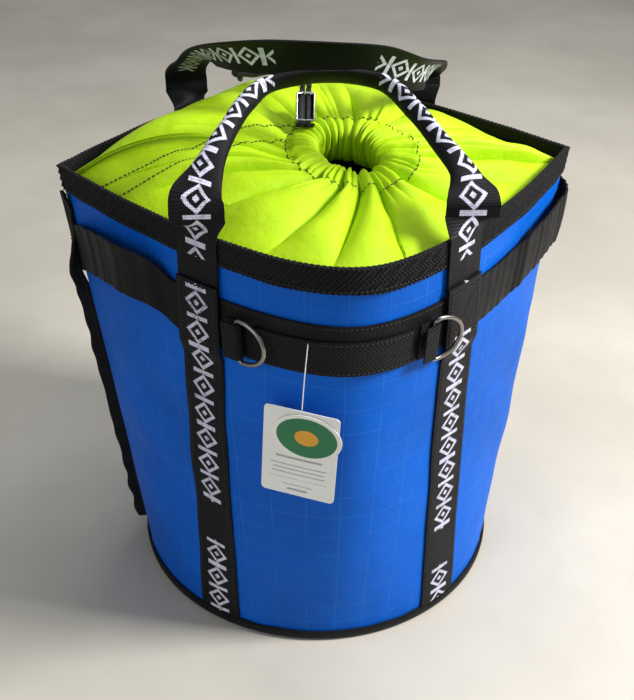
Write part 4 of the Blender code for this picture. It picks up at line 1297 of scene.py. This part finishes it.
def ring_place(bar_x, lift):
    half_width = mix(BASE_RADIUS, RIM_HALF_WIDTH, RING_Z / HEIGHT)
    turn = -math.acos(bar_x / half_width)
    bar_out = LAYER_TWO + 3 * GAP + TAPE + RING_WIRE / 2
    bar = wall(turn, RING_Z, bar_out)
    upright = unit(wall(turn, RING_Z + 0.01) - wall(turn, RING_Z - 0.01))
    reach_turn = turn + RING_REACH / turn_width(turn, RING_Z)
    tip = wall(reach_turn, RING_Z, bar_out + 0.0045 + lift)
    away = wall(turn - 0.06, RING_Z, bar_out) - bar
    return bar, tip - bar, upright, away


def make_rings(steel, tape):
    for name, bar_x, lift in (("left", -0.076, 0.0), ("right", 0.058, 0.0028)):
        bar, towards, upright, away = ring_place(bar_x, lift)
        line = ring_line(bar, towards, upright)
        piece = add_tube(f"{name}_ring_wire", line, RING_WIRE / 2, steel, 20, closed=True)
        close_normals(piece)
        install(piece, f"d_ring_{name}", f"d_ring_{name}")
        make_tab(name, bar, away, upright, tape)


def make_tab(name, bar, away, upright, tape):
    """Tape folded round the ring's bar, both ends lying on the band."""
    away = unit(away - upright * np.dot(away, upright))
    out = np.cross(upright, away)
    out = unit(out if np.dot(out, bar) > 0 else -out)
    near, reach = RING_WIRE / 2 + 3 * GAP, 0.011
    angles = np.radians(np.linspace(-90, 90, 15))
    arc = [-away * math.cos(a) + out * math.sin(a) for a in angles]
    start = [bar + away * reach * s - out * near for s in (1, 0.75, 0.5, 0.25)]
    stop = [bar + away * reach * s + out * near for s in (0.25, 0.5, 0.75, 1)]
    inner = np.array([*start, *(bar + d * near for d in arc), *stop])
    normal = np.array([*[-out] * 4, *arc, *[out] * 4])
    outer = inner + normal * TAPE
    k = np.linspace(-1, 1, 9)
    half = RING_HEIGHT / 2 - RING_WIRE - 0.001
    rise = (k * half)[None, :, None] * upright
    along = lengths_along(outer)
    piece = add_slab(f"{name}_ring_tab", outer[:, None] + rise, inner[:, None] + rise, tape, along,
                     (k + 1) * half)
    install(piece, f"d_ring_tab_{name}")


def tag_frame():
    """Where the string leaves the band, the card's hole, and the card's directions across, down and out."""
    turn = -math.acos(TAG_TOP_X / mix(BASE_RADIUS, RIM_HALF_WIDTH, TAG_TOP_Z / HEIGHT))
    top = Vector(wall(turn, TAG_TOP_Z, LAYER_TWO + TAPE + 0.001))
    across = Vector(unit(wall(turn + 0.02, TAG_TOP_Z) - wall(turn - 0.02, TAG_TOP_Z)))
    out = Vector((across.y, -across.x, 0))
    hole = top + Vector((-0.004, -0.001, -0.056)) + out * 0.001
    across = (across + Vector((0, 0, -0.05))).normalized()
    down = (Vector((0, 0, -1)) - across * across.dot(Vector((0, 0, -1)))).normalized()
    face = across.cross(down)
    return top, hole, across, down, face if face.dot(out) > 0 else -face


def add_plate(name, centre, axes, outline_points, material):
    """A thin card with this outline, bent about its upright middle. UVs are metres from its centre."""
    across, down, face = axes
    bm = bmesh.new()
    layer = bm.loops.layers.uv.new("UVMap")
    rings = []
    for share in (1.0, 0.97, 0.6, 0.25):
        rings.append([(x * share, y * share) for x, y in outline_points])
    found = []
    for depth in (CARD_THICKNESS / 2, -CARD_THICKNESS / 2):
        side = []
        for ring in rings:
            spots = [centre + across * x + down * y + face * (depth - CARD_CURVE * x * x) for x, y in ring]
            side.append([bm.verts.new(spot) for spot in spots])
        found.append(side)
    count = len(outline_points)
    places = {v: xy for side in found for ring, flat in zip(side, rings) for v, xy in zip(ring, flat)}
    for side in found:
        for a, b in zip(side, side[1:]):
            for i in range(count):
                bm.faces.new((a[i], a[(i + 1) % count], b[(i + 1) % count], b[i]))
        bm.faces.new(side[-1])
    for i in range(count):
        k = (i + 1) % count
        bm.faces.new((found[0][0][i], found[0][0][k], found[1][0][k], found[1][0][i]))
    for bm_face in bm.faces:
        for loop in bm_face.loops:
            loop[layer].uv = places[loop.vert]
    bmesh.ops.recalc_face_normals(bm, faces=bm.faces)
    mesh = bpy.data.meshes.new(name)
    bm.to_mesh(mesh)
    bm.free()
    mesh.materials.append(material)
    piece = bpy.data.objects.new(name, mesh)
    bpy.context.scene.collection.objects.link(piece)
    return piece


def rounded_card(half_width, half_height, corner):
    """Outline of a card with rounded corners."""
    points = []
    for quarter, (sx, sy) in enumerate(((1, 1), (-1, 1), (-1, -1), (1, -1))):
        for step in range(7):
            angle = math.pi / 2 * (quarter + step / 6)
            x = sx * (half_width - corner) + corner * math.cos(angle)
            points.append((x, sy * (half_height - corner) + corner * math.sin(angle)))
    return points


def make_tag(card, badge, string):
    top, hole, across, down, face = tag_frame()
    axes = (across, down, face)
    centre = hole + down * (CARD_HEIGHT / 2 + 0.0008)
    edge = rounded_card(CARD_WIDTH / 2, CARD_HEIGHT / 2, 0.0035)
    install(add_plate("hang_card", centre, axes, edge, card), "tag_card", "hang_tag")
    angles = np.linspace(0, 2 * math.pi, 48, endpoint=False)
    oval = [(BADGE_HALF_WIDTH * math.cos(a), BADGE_HALF_HEIGHT * math.sin(a)) for a in angles]
    middle = hole + down * 0.023 + across * 0.005 + face * (CARD_THICKNESS + GAP)
    install(add_plate("hang_badge", middle, axes, oval, badge), "tag_badge", "hang_tag")
    line = spline([top, top.lerp(hole, 0.5) + face * 0.001, hole], 30)
    thread_piece = add_tube("hang_string", line, 0.0004, string, sides=8)
    install(thread_piece, "tag_string", "hang_tag")


def card_material():
    """White card printed with plain grey bars where its lines of print are."""
    shader = Shader("white_card_stock", (0.84, 0.84, 0.82), 0.5)
    across, down = shader.uv()
    printed = None
    for row, (height, half_length, half_thickness) in enumerate(CARD_BARS):
        away = shader.math("ABSOLUTE", shader.scaled(down, 1.0, -height))
        level = shader.math("LESS_THAN", away, half_thickness)
        ends = shader.math("LESS_THAN", shader.math("ABSOLUTE", across), half_length)
        bar = shader.math("MULTIPLY", level, ends)
        if row:
            bar = shader.math("MAXIMUM", bar, printed)
        printed = bar
    worn = shader.scaled(shader.noise(700.0, 2.0), 0.5, 0.35)
    paper = shader.blend(shader.noise(30.0), (0.80, 0.80, 0.78, 1), (0.88, 0.88, 0.86, 1))
    ink = shader.math("MULTIPLY", printed, worn)
    shader.set("Base Color", shader.blend(ink, paper, (0.10, 0.10, 0.11, 1)))
    shader.set("Roughness", shader.scaled(shader.noise(60.0), 0.2, 0.38))
    shader.bump((shader.noise(300.0), 0.0001))
    return shader.material


def badge_material():
    """Green oval with a pale border and a gold disc."""
    shader = Shader("green_card_stock", (0.006, 0.17, 0.06), 0.4)
    across, down = shader.uv()
    wide, high = shader.scaled(across, 1 / BADGE_HALF_WIDTH), shader.scaled(down, 1 / BADGE_HALF_HEIGHT)
    reach = shader.math("SQRT", shader.math("ADD", shader.math("POWER", shader.math("ABSOLUTE", wide), 2.0),
                                            shader.math("POWER", shader.math("ABSOLUTE", high), 2.0)))
    green = shader.blend(shader.noise(50.0), (0.005, 0.14, 0.05, 1), (0.008, 0.20, 0.07, 1))
    gold = shader.blend(shader.math("LESS_THAN", reach, 0.34), green, (0.75, 0.36, 0.02, 1))
    shader.set("Base Color", shader.blend(shader.step(reach, 0.86, 0.88), gold, (0.85, 0.86, 0.80, 1)))
    shader.set("Roughness", shader.scaled(shader.noise(80.0), 0.15, 0.3))
    shader.bump((shader.noise(300.0), 0.0001))
    return shader.material


def add_small_parts(cord, black):
    """The drawcord in its channel and the eyelet that its ends leave by."""
    ring = mouth_point(np.linspace(0, 2 * math.pi, 240, endpoint=False), 0.0066, -0.0050)
    piece = add_tube("drawcord_in_channel", ring, CORD / 2, cord, sides=12, closed=True, braid=0.06)
    close_normals(piece)
    install(piece, "drawcord")
    paint("cord_eyelet", black)


# ---------------------------------------------------------------- the scene

make_camera()
make_stage()
cord = cord_material()
thread = plain_material("black_thread", (0.012, 0.012, 0.014), 0.5)
ripstop = ripstop_material()
tape = herringbone_material()
strap_webbing = webbing_material("patterned_webbing", STRAP_WIDTH, filled=0.83)
handle_webbing = webbing_material("handle_webbing", STRAP_WIDTH, filled=0.68)
band_webbing = webbing_material("plain_webbing", STRAP_WIDTH)
lime = lime_material()
gunmetal = metal_material("dark_nickel", (0.30, 0.28, 0.26), 0.24)
chrome = metal_material("polished_chrome", (0.82, 0.82, 0.84), 0.16)
plastic = plain_material("black_moulding", (0.02, 0.02, 0.02), 0.4)
card, badge = card_material(), badge_material()
string = plain_material("white_string", (0.8, 0.8, 0.78), 0.7)

make_cords(cord)
make_lock(chrome, gunmetal, plastic)
make_body(ripstop)
make_base(ripstop)
make_base_binding(tape)
make_side_seam(tape, thread)
make_rim(tape, thread)
make_straps(strap_webbing, thread)
make_bands(band_webbing, tape, thread)
make_gear_loops(band_webbing)
make_handle("front", FRONT_HANDLE, -1, handle_webbing)
make_handle("rear", REAR_HANDLE, 1, handle_webbing)
make_collar(lime, thread)
make_rings(gunmetal, tape)
make_tag(card, badge, string)
add_small_parts(cord, band_webbing)
